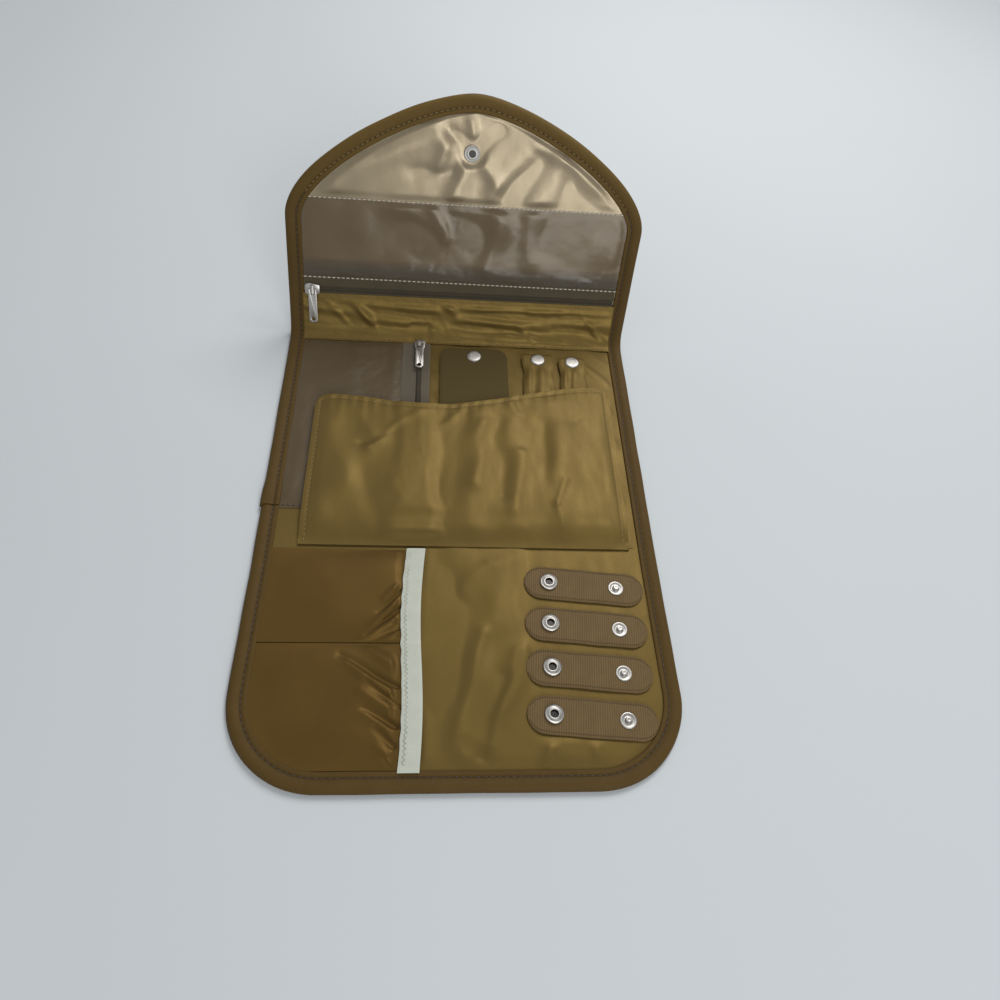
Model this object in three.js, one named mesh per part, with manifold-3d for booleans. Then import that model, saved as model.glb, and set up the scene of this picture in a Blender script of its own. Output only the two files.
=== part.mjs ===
import * as THREE from 'three';
import { mergeVertices } from 'three/addons/utils/BufferGeometryUtils.js';
import Module from 'manifold-3d';

// A folding jewelry organizer, opened out: a middle panel flat on the table, a bottom panel
// flat in front of it and an envelope flap that leans back behind it.
// Millimetres, +Z up. The origin is the centre of the middle panel's underside.

// Panels
const panelWidth = 232;
const middleLength = 171;
const bottomLength = 131;
const bottomCornerRadius = 49;
const bottomFlare = 1.0;
const panelThickness = 3.0;
const liningThickness = 0.6;
const layerGap = 0.3;
const cutReach = 1;

// Edge binding
const bindingWidth = 10.3;
const bindingLip = 0.8;
const bindingWall = 0.5;
const bindingRoll = 1.5;
const liningInset = 7.2;

// Flap outline, measured up the flap from its fold
const flapLean = 64;
const flapShoulderHeight = 68.5;
const flapShoulderHalfWidth = 117.2;
const flapTipHeight = 144.7;
const flapShoulderPull = 33.5;
const flapTipPull = 34.5;
const flapSkew = 4.5;

// Folds
const lowerFoldHalfWidth = 6;
const upperFoldRadius = 12;
const flapSetback = 5;
const flapPressDown = 2.1;

// Snap fasteners
const snapRadius = 5;
const snapCapHeight = 1.0;
const snapCrownRadius = 3.5;
const snapCrownHeight = 0.8;
const snapCapEdge = 0.25;
const snapFlangeHeight = 0.5;
const snapSocketHeight = 1.6;
const snapSocketRim = 4.2;
const snapSocketRound = 0.65;
const snapSocketBore = 2.1;
const snapStudRadius = 4.3;
const snapNubRadius = 1.75;
const snapNubHeight = 1.4;
const snapNubRound = 0.4;
const snapNeckRadius = 1.3;
const snapClearance = 0.3;

// Zippers
const coilWidth = 3.6;
const coilHeight = 1.5;
const tapeThickness = 0.5;
const sliderLength = 9.5;
const sliderWidth = 7.6;
const sliderPlate = 0.9;
const sliderShoulder = 1.4;
const sliderNoseWidth = 4.2;
const sliderTailWidth = 5.4;
const bridgeOpening = 1.4;
const bridgeThickness = 0.7;
const bridgeWidth = 2.0;
const bridgeLength = 5.9;
const bridgeRoot = 0.1;
const pullLength = 22.5;
const pullWidth = 5.4;
const pullThickness = 1.0;
const pullBarRadius = 0.45;
const pullHoleRadius = 1.3;
const pullHoleInset = 2.7;
const pullTipRadius = 2.4;
const pullRootRadius = 0.3;
const pullWindowCorner = 0.5;
const flapZipperHeight = 22.4;
const flapTapeWidth = 6.5;
const sideZipperX = -27.2;
const sideZipperLength = 139;
const sideTapeLeftWidth = 9.3;
const sideTapeRightWidth = 5.6;
const sideSliderInset = 6.5;

// Vinyl sheets
const vinylThickness = 0.4;

// Satin strip round the spine
const satinStripThickness = 0.6;

// Cover flap over the middle panel
const coverLeft = -92;
const coverRight = 100;
const coverHemOffset = 4.5;
const coverThickness = 1.2;
const coverRise = 5.0;
const coverRiseLength = 8.5;
const coverEdgeDroop = 4.4;
const coverDroopWidth = 12;
const coverCornerRadius = 8;
const coverWave = 0.35;
const coverWavePitch = 37;
const coverWaveLength = 60;
const coverColumns = 28;
const coverRows = 16;
const coverSideBias = 0.3;
const coverHemBias = 0.65;
const coverDipX = -22;
const coverDipBelowSeam = 62.5;
const coverLeftLift = 6;
const coverLeftSpan = 58;
const coverRightLift = 20;
const coverRightSpan = 118;

// Earring board and necklace straps under the cover flap
const strapSheet = 1.0;
const strapLift = 2.2;
const strapEndInset = 13.5;
const strapHemLength = 4;
const strapRiseLength = 7;
const earringBoard = { x: 10, width: 46, top: 76.8, hinge: 34.5, snapInset: 7.2, corner: 8 };
const necklaceLeft = { x: 54.2, width: 22, top: 74.4, hinge: 41.5, snapInset: 5.6, corner: 3 };
const necklaceRight = { x: 78.2, width: 19, top: 72.2, hinge: 45.5, snapInset: 4.6, corner: 3 };

// Ring straps on the bottom panel
const ringStrapCount = 4;
const ringStrapPitch = 25.2;
const ringStrapWidth = 20;
const ringStrapThickness = 1.2;
const ringStrapTilt = -4.9;
const ringSocketX = 50.2;
const ringStrapShift = -0.8;
const ringSocketInset = 18.2;
const ringSnapSpacing = 38.3;
const ringStrapEndLeft = 14;
const ringStrapEndRight = 16;
const ringStrapSeat = 0.6;
const ringRivetSeat = 0.1;

// Gathered pockets on the bottom panel
const pocketSheet = 0.6;
const pocketRise = 4.8;
const pocketMouthX = -31;
const pocketTopInset = 7;
const pocketSeamInset = 55;
const pocketSidePower = 4;
const pocketMouthPower = 6;
const pocketColumns = 16;
const pocketRows = 12;
const elasticWidth = 10.5;
const elasticThickness = 0.8;
const elasticRise = 4.5;
const elasticSlope = 11;
const elasticBendShare = 0.55;

// Closure snap
const closureInset = 33.3;
const closureSocketHeight = 2.3;
const closureRecessRadius = 7;
const closureRecessDepth = 1.7;
const closureNubHeight = 1.0;
const closureStudSeat = 0.06;

const halfWidth = panelWidth / 2;
const lowerFoldY = -middleLength / 2;
const upperSeamY = middleLength / 2;
const bindingInnerX = halfWidth - bindingWidth;
const shellThickness = panelThickness - liningThickness - layerGap;
const rad = THREE.MathUtils.degToRad;
const upperAxisY = upperSeamY + flapSetback - upperFoldRadius * Math.tan(rad(flapLean) / 2);
const shellEdgeInset = bindingWall + layerGap;
const closureHeight = flapTipHeight - closureInset;
const faceInset = bindingWidth + layerGap;
const arcSteps = 10;
const roundSegments = 16;
const weldDistance = 1e-4;

const wasm = await Module();
wasm.setup();

const finishes = {
  leather: { color: 0x6d5539, roughness: 0.62, metalness: 0 },
  binding: { color: 0x71583a, roughness: 0.58, metalness: 0 },
  satin: { color: 0x7d653c, roughness: 0.42, metalness: 0 },
  silverSatin: { color: 0xa79b87, roughness: 0.35, metalness: 0 },
  taffeta: { color: 0x694f2d, roughness: 0.5, metalness: 0 },
  vinyl: { color: 0x6f6355, roughness: 0.18, metalness: 0 },
  tape: { color: 0x4a4130, roughness: 0.8, metalness: 0 },
  board: { color: 0x51452a, roughness: 0.75, metalness: 0 },
  elastic: { color: 0xe2e3d8, roughness: 0.85, metalness: 0 },
  strap: { color: 0x735a3a, roughness: 0.6, metalness: 0 },
  metal: { color: 0xc4c2bd, roughness: 0.25, metalness: 1 },
};

function piece(name, geometry, finish) {
  const mesh = new THREE.Mesh(geometry, new THREE.MeshStandardMaterial(finishes[finish]));
  mesh.name = name;
  return mesh;
}

// Booleans

function toSolid(geometry) {
  const bare = geometry.clone();
  bare.deleteAttribute('normal');
  bare.deleteAttribute('uv');
  const merged = mergeVertices(bare, weldDistance);
  return new wasm.Manifold(new wasm.Mesh({
    numProp: 3,
    vertProperties: new Float32Array(merged.attributes.position.array),
    triVerts: new Uint32Array(merged.index.array),
  }));
}

function toGeometry(solid) {
  const mesh = solid.getMesh();
  const geometry = new THREE.BufferGeometry();
  geometry.setAttribute('position', new THREE.BufferAttribute(mesh.vertProperties, 3));
  geometry.setIndex(new THREE.BufferAttribute(mesh.triVerts, 1));
  return geometry;
}

function join(...geometries) {
  return toGeometry(geometries.map(toSolid).reduce((sum, solid) => sum.add(solid)));
}

function cut(geometry, ...tools) {
  return toGeometry(tools.map(toSolid).reduce((rest, tool) => rest.subtract(tool), toSolid(geometry)));
}

// Meshes built point by point

function signedVolume(points, faces) {
  let sum = 0;
  for (const [a, b, c] of faces) {
    sum += points[a].dot(new THREE.Vector3().crossVectors(points[b], points[c]));
  }
  return sum;
}

function closedMesh(points, faces) {
  const outward = signedVolume(points, faces) > 0;
  const index = faces.flatMap(([a, b, c]) => (outward ? [a, b, c] : [a, c, b]));
  const geometry = new THREE.BufferGeometry().setFromPoints(points);
  geometry.setIndex(index);
  return geometry;
}

// A section carried along a row of frames; place(frame, [a, b]) gives the point in space.
function sweep(frames, sectionPoints, place) {
  const outline = sectionPoints.map(([a, b]) => new THREE.Vector2(a, b));
  if (THREE.ShapeUtils.isClockWise(outline)) outline.reverse();
  const section = outline.map((corner) => [corner.x, corner.y]);
  const count = section.length;
  const points = frames.flatMap((frame) => section.map((corner) => place(frame, corner)));
  const faces = [];
  for (let i = 0; i + 1 < frames.length; i += 1) {
    for (let j = 0; j < count; j += 1) {
      const next = (j + 1) % count;
      const a = i * count + j;
      const b = i * count + next;
      faces.push([a, b, b + count], [a, b + count, a + count]);
    }
  }
  const caps = THREE.ShapeUtils.triangulateShape(outline, []);
  const last = (frames.length - 1) * count;
  for (const [a, b, c] of caps) {
    faces.push([a, c, b], [a + last, b + last, c + last]);
  }
  return closedMesh(points, faces);
}

// A sheet of even thickness under the surface top(u, v).
function sheet(columns, rows, thickness, top) {
  const points = [];
  for (const drop of [0, thickness]) {
    for (let i = 0; i <= columns; i += 1) {
      for (let j = 0; j <= rows; j += 1) {
        const point = top(i / columns, j / rows);
        point.z -= drop;
        points.push(point);
      }
    }
  }
  const layer = (columns + 1) * (rows + 1);
  const at = (i, j) => i * (rows + 1) + j;
  const faces = [];
  const wall = (a, b) => faces.push([a, b, b + layer], [a, b + layer, a + layer]);
  for (let i = 0; i < columns; i += 1) {
    for (let j = 0; j < rows; j += 1) {
      const [a, b, c, d] = [at(i, j), at(i + 1, j), at(i + 1, j + 1), at(i, j + 1)];
      faces.push([a, b, c], [a, c, d], [a + layer, c + layer, b + layer], [a + layer, d + layer, c + layer]);
    }
  }
  for (let i = 0; i < columns; i += 1) {
    wall(at(i + 1, 0), at(i, 0));
    wall(at(i, rows), at(i + 1, rows));
  }
  for (let j = 0; j < rows; j += 1) {
    wall(at(0, j), at(0, j + 1));
    wall(at(columns, j + 1), at(columns, j));
  }
  return closedMesh(points, faces);
}

// Simple solids

function shapeFrom(points) {
  const outline = points.map((p) => new THREE.Vector2(p.x, p.y));
  if (THREE.ShapeUtils.isClockWise(outline)) outline.reverse();
  return new THREE.Shape(outline);
}

function plate(shape, low, high) {
  const geometry = new THREE.ExtrudeGeometry(shape, {
    depth: high - low, bevelEnabled: false, curveSegments: arcSteps,
  });
  return geometry.translate(0, 0, low);
}

function block(x0, x1, y0, y1, low, high) {
  const box = new THREE.BoxGeometry(x1 - x0, y1 - y0, high - low);
  return box.translate((x0 + x1) / 2, (y0 + y1) / 2, (low + high) / 2);
}

function turned(profile) {
  const points = profile.map(([radius, height]) => new THREE.Vector2(radius, height));
  return new THREE.LatheGeometry(points, roundSegments).rotateX(Math.PI / 2);
}

function disc(radius, low, high) {
  return turned([[0, low], [radius, low], [radius, high], [0, high]]);
}

function roundedRectangle(x0, x1, y0, y1, radii) {
  const [lowLeft, lowRight, highRight, highLeft] = radii;
  const shape = new THREE.Shape();
  shape.moveTo(x0 + lowLeft, y0);
  shape.lineTo(x1 - lowRight, y0);
  if (lowRight) shape.absarc(x1 - lowRight, y0 + lowRight, lowRight, -Math.PI / 2, 0);
  shape.lineTo(x1, y1 - highRight);
  if (highRight) shape.absarc(x1 - highRight, y1 - highRight, highRight, 0, Math.PI / 2);
  shape.lineTo(x0 + highLeft, y1);
  if (highLeft) shape.absarc(x0 + highLeft, y1 - highLeft, highLeft, Math.PI / 2, Math.PI);
  shape.lineTo(x0, y0 + lowLeft);
  if (lowLeft) shape.absarc(x0 + lowLeft, y0 + lowLeft, lowLeft, Math.PI, Math.PI * 1.5);
  return shape;
}

function roundHole(x, y, radius) {
  return new THREE.Path().absarc(x, y, radius, 0, Math.PI * 2, true);
}

// A ribbon of even thickness, seen from the side as heights [y, height of its underside].
function ribbon(x0, x1, heights, thickness) {
  const under = heights.map(([y, low]) => [y, low]);
  const over = heights.map(([y, low]) => [y, low + thickness]).reverse();
  return sweep([x0, x1], [...under, ...over], (x, [y, z]) => new THREE.Vector3(x, y, z));
}

// Panel outlines: the edge as points with the direction into the panel

function edgePath(points, inwardSide) {
  return points.map((point, i) => {
    const before = points[Math.max(i - 1, 0)];
    const after = points[Math.min(i + 1, points.length - 1)];
    const along = after.clone().sub(before).normalize();
    const inward = new THREE.Vector2(-along.y, along.x).multiplyScalar(inwardSide);
    return { point, inward };
  });
}

function insetOutline(path, inset) {
  return shapeFrom(path.map(({ point, inward }) => point.clone().addScaledVector(inward, inset)));
}

function arcPoints(centreX, centreY, radius, from, to) {
  const points = [];
  for (let i = 0; i <= arcSteps; i += 1) {
    const angle = from + ((to - from) * i) / arcSteps;
    points.push(new THREE.Vector2(
      centreX + radius * Math.cos(angle),
      centreY + radius * Math.sin(angle),
    ));
  }
  return points;
}

const bottomCornerX = halfWidth + bottomFlare - bottomCornerRadius;
const bottomCornerY = lowerFoldY - bottomLength + bottomCornerRadius;

function bottomEdge() {
  const startY = lowerFoldY - lowerFoldHalfWidth - layerGap;
  const middle = (startY + bottomCornerY) / 2;
  const wide = halfWidth + bottomFlare / 2;
  return edgePath([
    new THREE.Vector2(-halfWidth, startY),
    new THREE.Vector2(-wide, middle),
    ...arcPoints(-bottomCornerX, bottomCornerY, bottomCornerRadius, Math.PI, Math.PI * 1.5),
    ...arcPoints(bottomCornerX, bottomCornerY, bottomCornerRadius, Math.PI * 1.5, Math.PI * 2),
    new THREE.Vector2(wide, middle),
    new THREE.Vector2(halfWidth, startY),
  ], 1);
}

// How far the flap's centre line has moved to the right at a height up the flap
function skewAt(height) {
  return flapSkew * (height / flapTipHeight);
}

function flapEdge() {
  const foot = new THREE.Vector2(-halfWidth, layerGap);
  const shoulder = new THREE.Vector2(-flapShoulderHalfWidth, flapShoulderHeight);
  const curve = new THREE.CubicBezierCurve(
    shoulder,
    new THREE.Vector2(-flapShoulderHalfWidth, flapShoulderHeight + flapShoulderPull),
    new THREE.Vector2(-flapTipPull, flapTipHeight),
    new THREE.Vector2(0, flapTipHeight),
  );
  const left = [foot, foot.clone().lerp(shoulder, 0.5), ...curve.getPoints(arcSteps * 2)];
  const right = left.slice(0, -1).reverse().map((p) => new THREE.Vector2(-p.x, p.y));
  const skewed = [...left, ...right].map((p) => new THREE.Vector2(p.x + skewAt(p.y), p.y));
  return edgePath(skewed, -1);
}

function middleEdge(side) {
  const low = lowerFoldY + lowerFoldHalfWidth + layerGap;
  const high = upperAxisY - layerGap;
  const points = [new THREE.Vector2(side * halfWidth, low), new THREE.Vector2(side * halfWidth, high)];
  return edgePath(points, side);
}

// Panel layers: heights are measured from the inner face of the panel's lining

const underside = -panelThickness;
const bindingTop = layerGap + bindingLip;

function bindingSection() {
  const roll = [0, 1, 2, 3].map((i) => (i / 3) * (Math.PI / 2));
  const lower = roll.map((angle) => [
    bindingRoll * (1 - Math.sin(angle)),
    underside + bindingRoll * (1 - Math.cos(angle)),
  ]);
  const upper = roll.map((angle) => [
    bindingRoll * (1 - Math.cos(angle)),
    bindingTop - bindingRoll * (1 - Math.sin(angle)),
  ]);
  return [
    [bindingWidth, underside],
    ...lower,
    ...upper,
    [bindingWidth, bindingTop],
    [bindingWidth, layerGap],
    [bindingWall, layerGap],
    [bindingWall, underside + bindingLip],
    [bindingWidth, underside + bindingLip],
  ];
}

function binding(path) {
  return sweep(path, bindingSection(), ({ point, inward }, [inset, height]) => (
    new THREE.Vector3(point.x + inward.x * inset, point.y + inward.y * inset, height)
  ));
}

function shellPlate(wide, narrow) {
  const top = underside + shellThickness;
  return join(
    plate(wide, underside + bindingLip + layerGap, top),
    plate(narrow, underside, top),
  );
}

// Snap fasteners: heights are measured from the face under the strap

// A domed cap's outline from its crown to its edge; side is 1 where the cap faces up
function capDome(seat, side) {
  return [
    [0, seat + side * snapCapHeight],
    [snapCrownRadius, seat + side * snapCrownHeight],
    [snapRadius, seat + side * snapCapEdge],
    [snapRadius, seat],
  ];
}

function nub(flange, height) {
  return [
    [snapNubRadius, flange],
    [snapNubRadius, flange + height - snapNubRound],
    [snapNubRadius - snapNubRound, flange + height],
    [0, flange + height],
  ];
}

function socketRing(base, face, floor) {
  return [
    [snapRadius, base],
    [snapRadius, face - snapSocketRound],
    [snapSocketRim, face],
    [snapSocketBore, face],
    [snapSocketBore, floor],
    [0, floor],
  ];
}

function snapSocketThrough(faceHeight, sheetLow, sheetHigh) {
  const floor = sheetLow - layerGap / 2;
  return turned([
    ...capDome(sheetHigh, 1),
    [snapNeckRadius, sheetHigh],
    [snapNeckRadius, sheetLow],
    [snapStudRadius, sheetLow],
    [snapStudRadius, faceHeight],
    [snapSocketBore, faceHeight],
    [snapSocketBore, floor],
    [0, floor],
  ].reverse());
}

function snapStud(nubHeight) {
  return turned([
    [0, 0],
    [snapStudRadius, 0],
    [snapStudRadius, snapFlangeHeight],
    ...nub(snapFlangeHeight, nubHeight),
  ]);
}

// The rivet that holds a snap half on a strap, with its flange under the strap
function rivetFoot(sheetLow, sheetHigh) {
  return [
    [0, ringRivetSeat],
    [snapStudRadius, ringRivetSeat],
    [snapStudRadius, sheetLow],
    [snapNeckRadius, sheetLow],
    [snapNeckRadius, sheetHigh],
  ];
}

function ringSocket(sheetLow, sheetHigh) {
  return turned([
    ...rivetFoot(sheetLow, sheetHigh),
    ...socketRing(sheetHigh, sheetHigh + snapSocketHeight, sheetHigh + layerGap),
  ]);
}

function ringStud(sheetLow, sheetHigh) {
  const flange = sheetHigh + snapFlangeHeight;
  return turned([
    ...rivetFoot(sheetLow, sheetHigh),
    [snapStudRadius, sheetHigh],
    [snapStudRadius, flange],
    ...nub(flange, snapNubHeight),
  ]);
}

// Zippers: built lying along Y at x = 0, slider nose towards +Y

const coilLow = layerGap;
const coilHigh = coilLow + coilHeight;
const plateLow = coilHigh + layerGap;
const plateHigh = plateLow + sliderPlate;
const pullAxisHeight = plateHigh + bridgeOpening / 2;

function zipperCoil(y0, y1) {
  const half = coilWidth / 2;
  const bevel = coilHeight / 3;
  const section = [
    [-half, coilLow], [half, coilLow], [half, coilHigh - bevel],
    [half - bevel, coilHigh], [-half + bevel, coilHigh], [-half, coilHigh - bevel],
  ];
  return sweep([y0, y1], section, (y, [x, z]) => new THREE.Vector3(x, y, z));
}

// turn swings the body round under its bridge, which keeps to the pull's direction
function zipperSlider(turn) {
  const half = sliderLength / 2;
  const nose = sliderWidth / 2;
  const noseInner = sliderNoseWidth / 2;
  const tail = sliderTailWidth / 2;
  const outline = new THREE.Shape();
  outline.moveTo(-tail, -half);
  outline.lineTo(tail, -half);
  outline.lineTo(nose, sliderShoulder);
  outline.quadraticCurveTo(nose, half, noseInner, half);
  outline.lineTo(-noseInner, half);
  outline.quadraticCurveTo(-nose, half, -nose, sliderShoulder);
  const flangeLow = layerGap + tapeThickness + layerGap;
  const body = plate(outline, flangeLow, plateHigh);
  const channel = coilWidth / 2 + layerGap;
  const open = block(-channel, channel, -half - cutReach, half + cutReach, flangeLow - cutReach, plateLow);
  const bridgeHigh = plateHigh + bridgeOpening + bridgeThickness;
  const bridgeHalf = bridgeLength / 2;
  const bridgeLow = plateHigh - bridgeRoot;
  const bridge = cut(
    block(-bridgeWidth / 2, bridgeWidth / 2, -bridgeHalf, bridgeHalf, bridgeLow, bridgeHigh),
    block(-bridgeWidth, bridgeWidth, -bridgeHalf + bridgeThickness, bridgeHalf - bridgeThickness,
      plateHigh, plateHigh + bridgeOpening),
  );
  return join(cut(body, open).rotateZ(turn), bridge);
}

// The pull hangs from its bar at the origin and lies along -Y
function zipperPull() {
  const arm = (pullWidth - bridgeWidth - 2 * layerGap) / 2;
  const armInner = pullWidth / 2 - arm;
  const clear = bridgeLength / 2 + layerGap * 2;
  const outline = roundedRectangle(-pullWidth / 2, pullWidth / 2, -pullLength, pullBarRadius,
    [pullTipRadius, pullTipRadius, pullRootRadius, pullRootRadius]);
  outline.holes.push(roundHole(0, -pullLength + pullHoleInset, pullHoleRadius));
  const window = roundedRectangle(-armInner, armInner, -clear, pullBarRadius + cutReach,
    [pullWindowCorner, pullWindowCorner, 0, 0]);
  const body = cut(
    plate(outline, -pullThickness / 2, pullThickness / 2),
    plate(window, -pullThickness, pullThickness),
  );
  const bar = new THREE.CylinderGeometry(pullBarRadius, pullBarRadius, pullWidth - arm, roundSegments);
  return join(body, bar.rotateZ(Math.PI / 2));
}

// Middle panel

function foldSection() {
  return [
    [-halfWidth, underside], [halfWidth, underside], [halfWidth, bindingTop],
    [bindingInnerX, bindingTop], [bindingInnerX, 0], [-bindingInnerX, 0],
    [-bindingInnerX, bindingTop], [-halfWidth, bindingTop],
  ];
}

function spineArc(section) {
  const startAngle = layerGap / upperFoldRadius;
  const endAngle = rad(flapLean) - startAngle;
  const angles = [];
  for (let i = 0; i <= arcSteps; i += 1) {
    angles.push(startAngle + ((endAngle - startAngle) * i) / arcSteps);
  }
  return sweep(angles, section, (angle, [x, height]) => {
    const radius = upperFoldRadius - height;
    return new THREE.Vector3(
      x,
      upperAxisY + radius * Math.sin(angle),
      upperFoldRadius - radius * Math.cos(angle),
    );
  });
}

// The cover's top edge dips over the pocket zipper and climbs to both sides
function coverTopEdgeY(x) {
  const fromDip = x - coverDipX;
  const share = fromDip < 0 ? -fromDip / coverLeftSpan : fromDip / coverRightSpan;
  const lift = fromDip < 0 ? coverLeftLift : coverRightLift;
  const edge = upperSeamY - coverDipBelowSeam + lift * smooth(share);
  const fromSide = Math.min(x - coverLeft, coverRight - x, coverCornerRadius);
  const inside = coverCornerRadius - fromSide;
  const drop = coverCornerRadius - Math.sqrt(Math.max(coverCornerRadius ** 2 - inside ** 2, 0));
  return edge - drop;
}

function smooth(t) {
  const c = THREE.MathUtils.clamp(t, 0, 1);
  return c * c * (3 - 2 * c);
}

function coverFlap() {
  const hemY = lowerFoldY + coverHemOffset;
  const { lerp } = THREE.MathUtils;
  return sheet(coverColumns, coverRows, coverThickness, (u, v) => {
    const towardsSides = 0.5 - Math.cos(Math.PI * u) / 2;
    const x = lerp(coverLeft, coverRight, lerp(u, towardsSides, coverSideBias));
    const y = lerp(hemY, coverTopEdgeY(x), lerp(v, v * v, coverHemBias));
    const rise = coverRise * smooth((y - hemY) / coverRiseLength);
    const side = Math.min(x - coverLeft, coverRight - x) / coverDroopWidth;
    const droop = Math.min(rise, coverEdgeDroop) * (1 - smooth(side));
    const swell = 1 + Math.sin((2 * Math.PI * x) / coverWavePitch);
    const wave = coverWave * swell * smooth((y - hemY) / coverWaveLength);
    return new THREE.Vector3(x, y, layerGap + coverThickness + rise - droop + wave);
  });
}

function strapBase({ x, width, hinge }) {
  const end = lowerFoldY + strapEndInset;
  const riseStart = end + strapHemLength;
  const heights = [
    [end, layerGap], [riseStart, layerGap], [riseStart + strapRiseLength, strapLift], [hinge, strapLift],
  ];
  return ribbon(x - width / 2, x + width / 2, heights, strapSheet);
}

function strapTab({ x, width, top, hinge, snapInset, corner }) {
  const shape = roundedRectangle(x - width / 2, x + width / 2, hinge + layerGap, top,
    [0, 0, corner, corner]);
  shape.holes.push(roundHole(x, top - snapInset, snapNeckRadius + snapClearance));
  return plate(shape, strapLift, strapLift + strapSheet);
}

function strapCap({ x, top, snapInset }) {
  const face = snapFlangeHeight + layerGap;
  return snapSocketThrough(face, strapLift, strapLift + strapSheet).translate(x, top - snapInset, 0);
}

function strapStud({ x, top, snapInset }) {
  return snapStud(snapNubHeight).translate(x, top - snapInset, 0);
}

function vinylPocket() {
  const right = sideZipperX - coilWidth / 2 - layerGap - sideTapeLeftWidth - layerGap;
  const top = upperAxisY - layerGap;
  return block(-bindingInnerX + layerGap, right, top - sideZipperLength, top,
    layerGap, layerGap + vinylThickness);
}

function sideTape(side) {
  const inner = sideZipperX + side * (coilWidth / 2 + layerGap);
  const outer = inner + side * (side < 0 ? sideTapeLeftWidth : sideTapeRightWidth);
  const top = upperAxisY - layerGap;
  return block(Math.min(inner, outer), Math.max(inner, outer), top - sideZipperLength, top,
    layerGap, layerGap + tapeThickness);
}

const sideSliderY = upperSeamY - sideSliderInset;

function middlePanel() {
  const group = new THREE.Group();
  const low = lowerFoldY + lowerFoldHalfWidth + layerGap;
  const high = upperAxisY - layerGap;
  const across = (inset) => shapeFrom([
    new THREE.Vector2(-halfWidth + inset, low), new THREE.Vector2(halfWidth - inset, low),
    new THREE.Vector2(halfWidth - inset, high), new THREE.Vector2(-halfWidth + inset, high),
  ]);
  const coilTop = upperAxisY - layerGap;
  const foldEnds = [lowerFoldY - lowerFoldHalfWidth, lowerFoldY + lowerFoldHalfWidth];
  group.add(
    piece('middle_shell', shellPlate(across(shellEdgeInset), across(faceInset)), 'leather'),
    piece('middle_lining', plate(across(liningInset), -liningThickness, 0), 'satin'),
    piece('left_binding', binding(middleEdge(-1).reverse()), 'binding'),
    piece('right_binding', binding(middleEdge(1)), 'binding'),
    piece('lower_fold', sweep(foldEnds, foldSection(), (y, [x, z]) => new THREE.Vector3(x, y, z)), 'leather'),
    piece('upper_fold', spineArc(foldSection()), 'leather'),
    piece('spine_strip', spineArc([
      [-bindingInnerX + layerGap, layerGap], [bindingInnerX - layerGap, layerGap],
      [bindingInnerX - layerGap, layerGap + satinStripThickness],
      [-bindingInnerX + layerGap, layerGap + satinStripThickness],
    ]), 'satin'),
    piece('vinyl_pocket', vinylPocket(), 'vinyl'),
    piece('pocket_zipper_tape_left', sideTape(-1), 'tape'),
    piece('pocket_zipper_tape_right', sideTape(1), 'tape'),
    piece('pocket_zipper_coil', zipperCoil(coilTop - sideZipperLength, coilTop)
      .translate(sideZipperX, 0, 0), 'tape'),
    piece('earring_board', strapBase(earringBoard), 'board'),
    piece('necklace_strap_left', strapBase(necklaceLeft), 'satin'),
    piece('necklace_strap_right', strapBase(necklaceRight), 'satin'),
    piece('earring_snap_stud', strapStud(earringBoard), 'metal'),
    piece('necklace_snap_stud_left', strapStud(necklaceLeft), 'metal'),
    piece('necklace_snap_stud_right', strapStud(necklaceRight), 'metal'),
    piece('cover_flap', coverFlap(), 'satin'),
    piece('earring_board_tab', strapTab(earringBoard), 'board'),
    piece('earring_snap_cap', strapCap(earringBoard), 'metal'),
    piece('necklace_tab_left', strapTab(necklaceLeft), 'satin'),
    piece('necklace_snap_cap_left', strapCap(necklaceLeft), 'metal'),
    piece('necklace_tab_right', strapTab(necklaceRight), 'satin'),
    piece('necklace_snap_cap_right', strapCap(necklaceRight), 'metal'),
    piece('pocket_zipper_slider', zipperSlider(0).translate(sideZipperX, sideSliderY, 0), 'metal'),
    piece('pocket_zipper_pull', zipperPull().translate(sideZipperX, sideSliderY, pullAxisHeight), 'metal'),
  );
  return group;
}

// Bottom panel

// Half the width of the bottom panel's face inside its binding, at height y
function faceHalfWidth(y) {
  const below = bottomCornerY - y;
  if (below < 0) return bindingInnerX - layerGap;
  const radius = bottomCornerRadius - faceInset - layerGap;
  return Math.min(
    bottomCornerX + Math.sqrt(Math.max(radius ** 2 - below ** 2, 0)),
    bindingInnerX - layerGap,
  );
}

function gatheredPocket(highY, lowY) {
  return sheet(pocketColumns, pocketRows, pocketSheet, (u, v) => {
    const y = THREE.MathUtils.lerp(lowY, highY, v);
    const x = THREE.MathUtils.lerp(-faceHalfWidth(y), pocketMouthX, u);
    const fromLeft = 1 - (1 - u) ** pocketSidePower;
    const acrossMouth = 1 - Math.abs(2 * v - 1) ** pocketMouthPower;
    return new THREE.Vector3(x, y, layerGap / 2 + pocketSheet + pocketRise * fromLeft * acrossMouth);
  });
}

function elasticBand(highY, seamY, lowY) {
  const low = layerGap / 2;
  const bend = low + elasticRise * elasticBendShare;
  const high = low + elasticRise;
  const bridge = (from, to) => [
    [from, low],
    [from + elasticSlope / 2, bend],
    [from + elasticSlope, high],
    [to - elasticSlope, high],
    [to - elasticSlope / 2, bend],
    [to, low],
  ];
  const x0 = pocketMouthX + layerGap;
  return ribbon(x0, x0 + elasticWidth,
    [...bridge(lowY, seamY - layerGap), ...bridge(seamY + layerGap, highY)], elasticThickness);
}

const ringHalf = ringSnapSpacing / 2;
const strapLow = ringStrapSeat;
const strapHigh = ringStrapSeat + ringStrapThickness;

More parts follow.
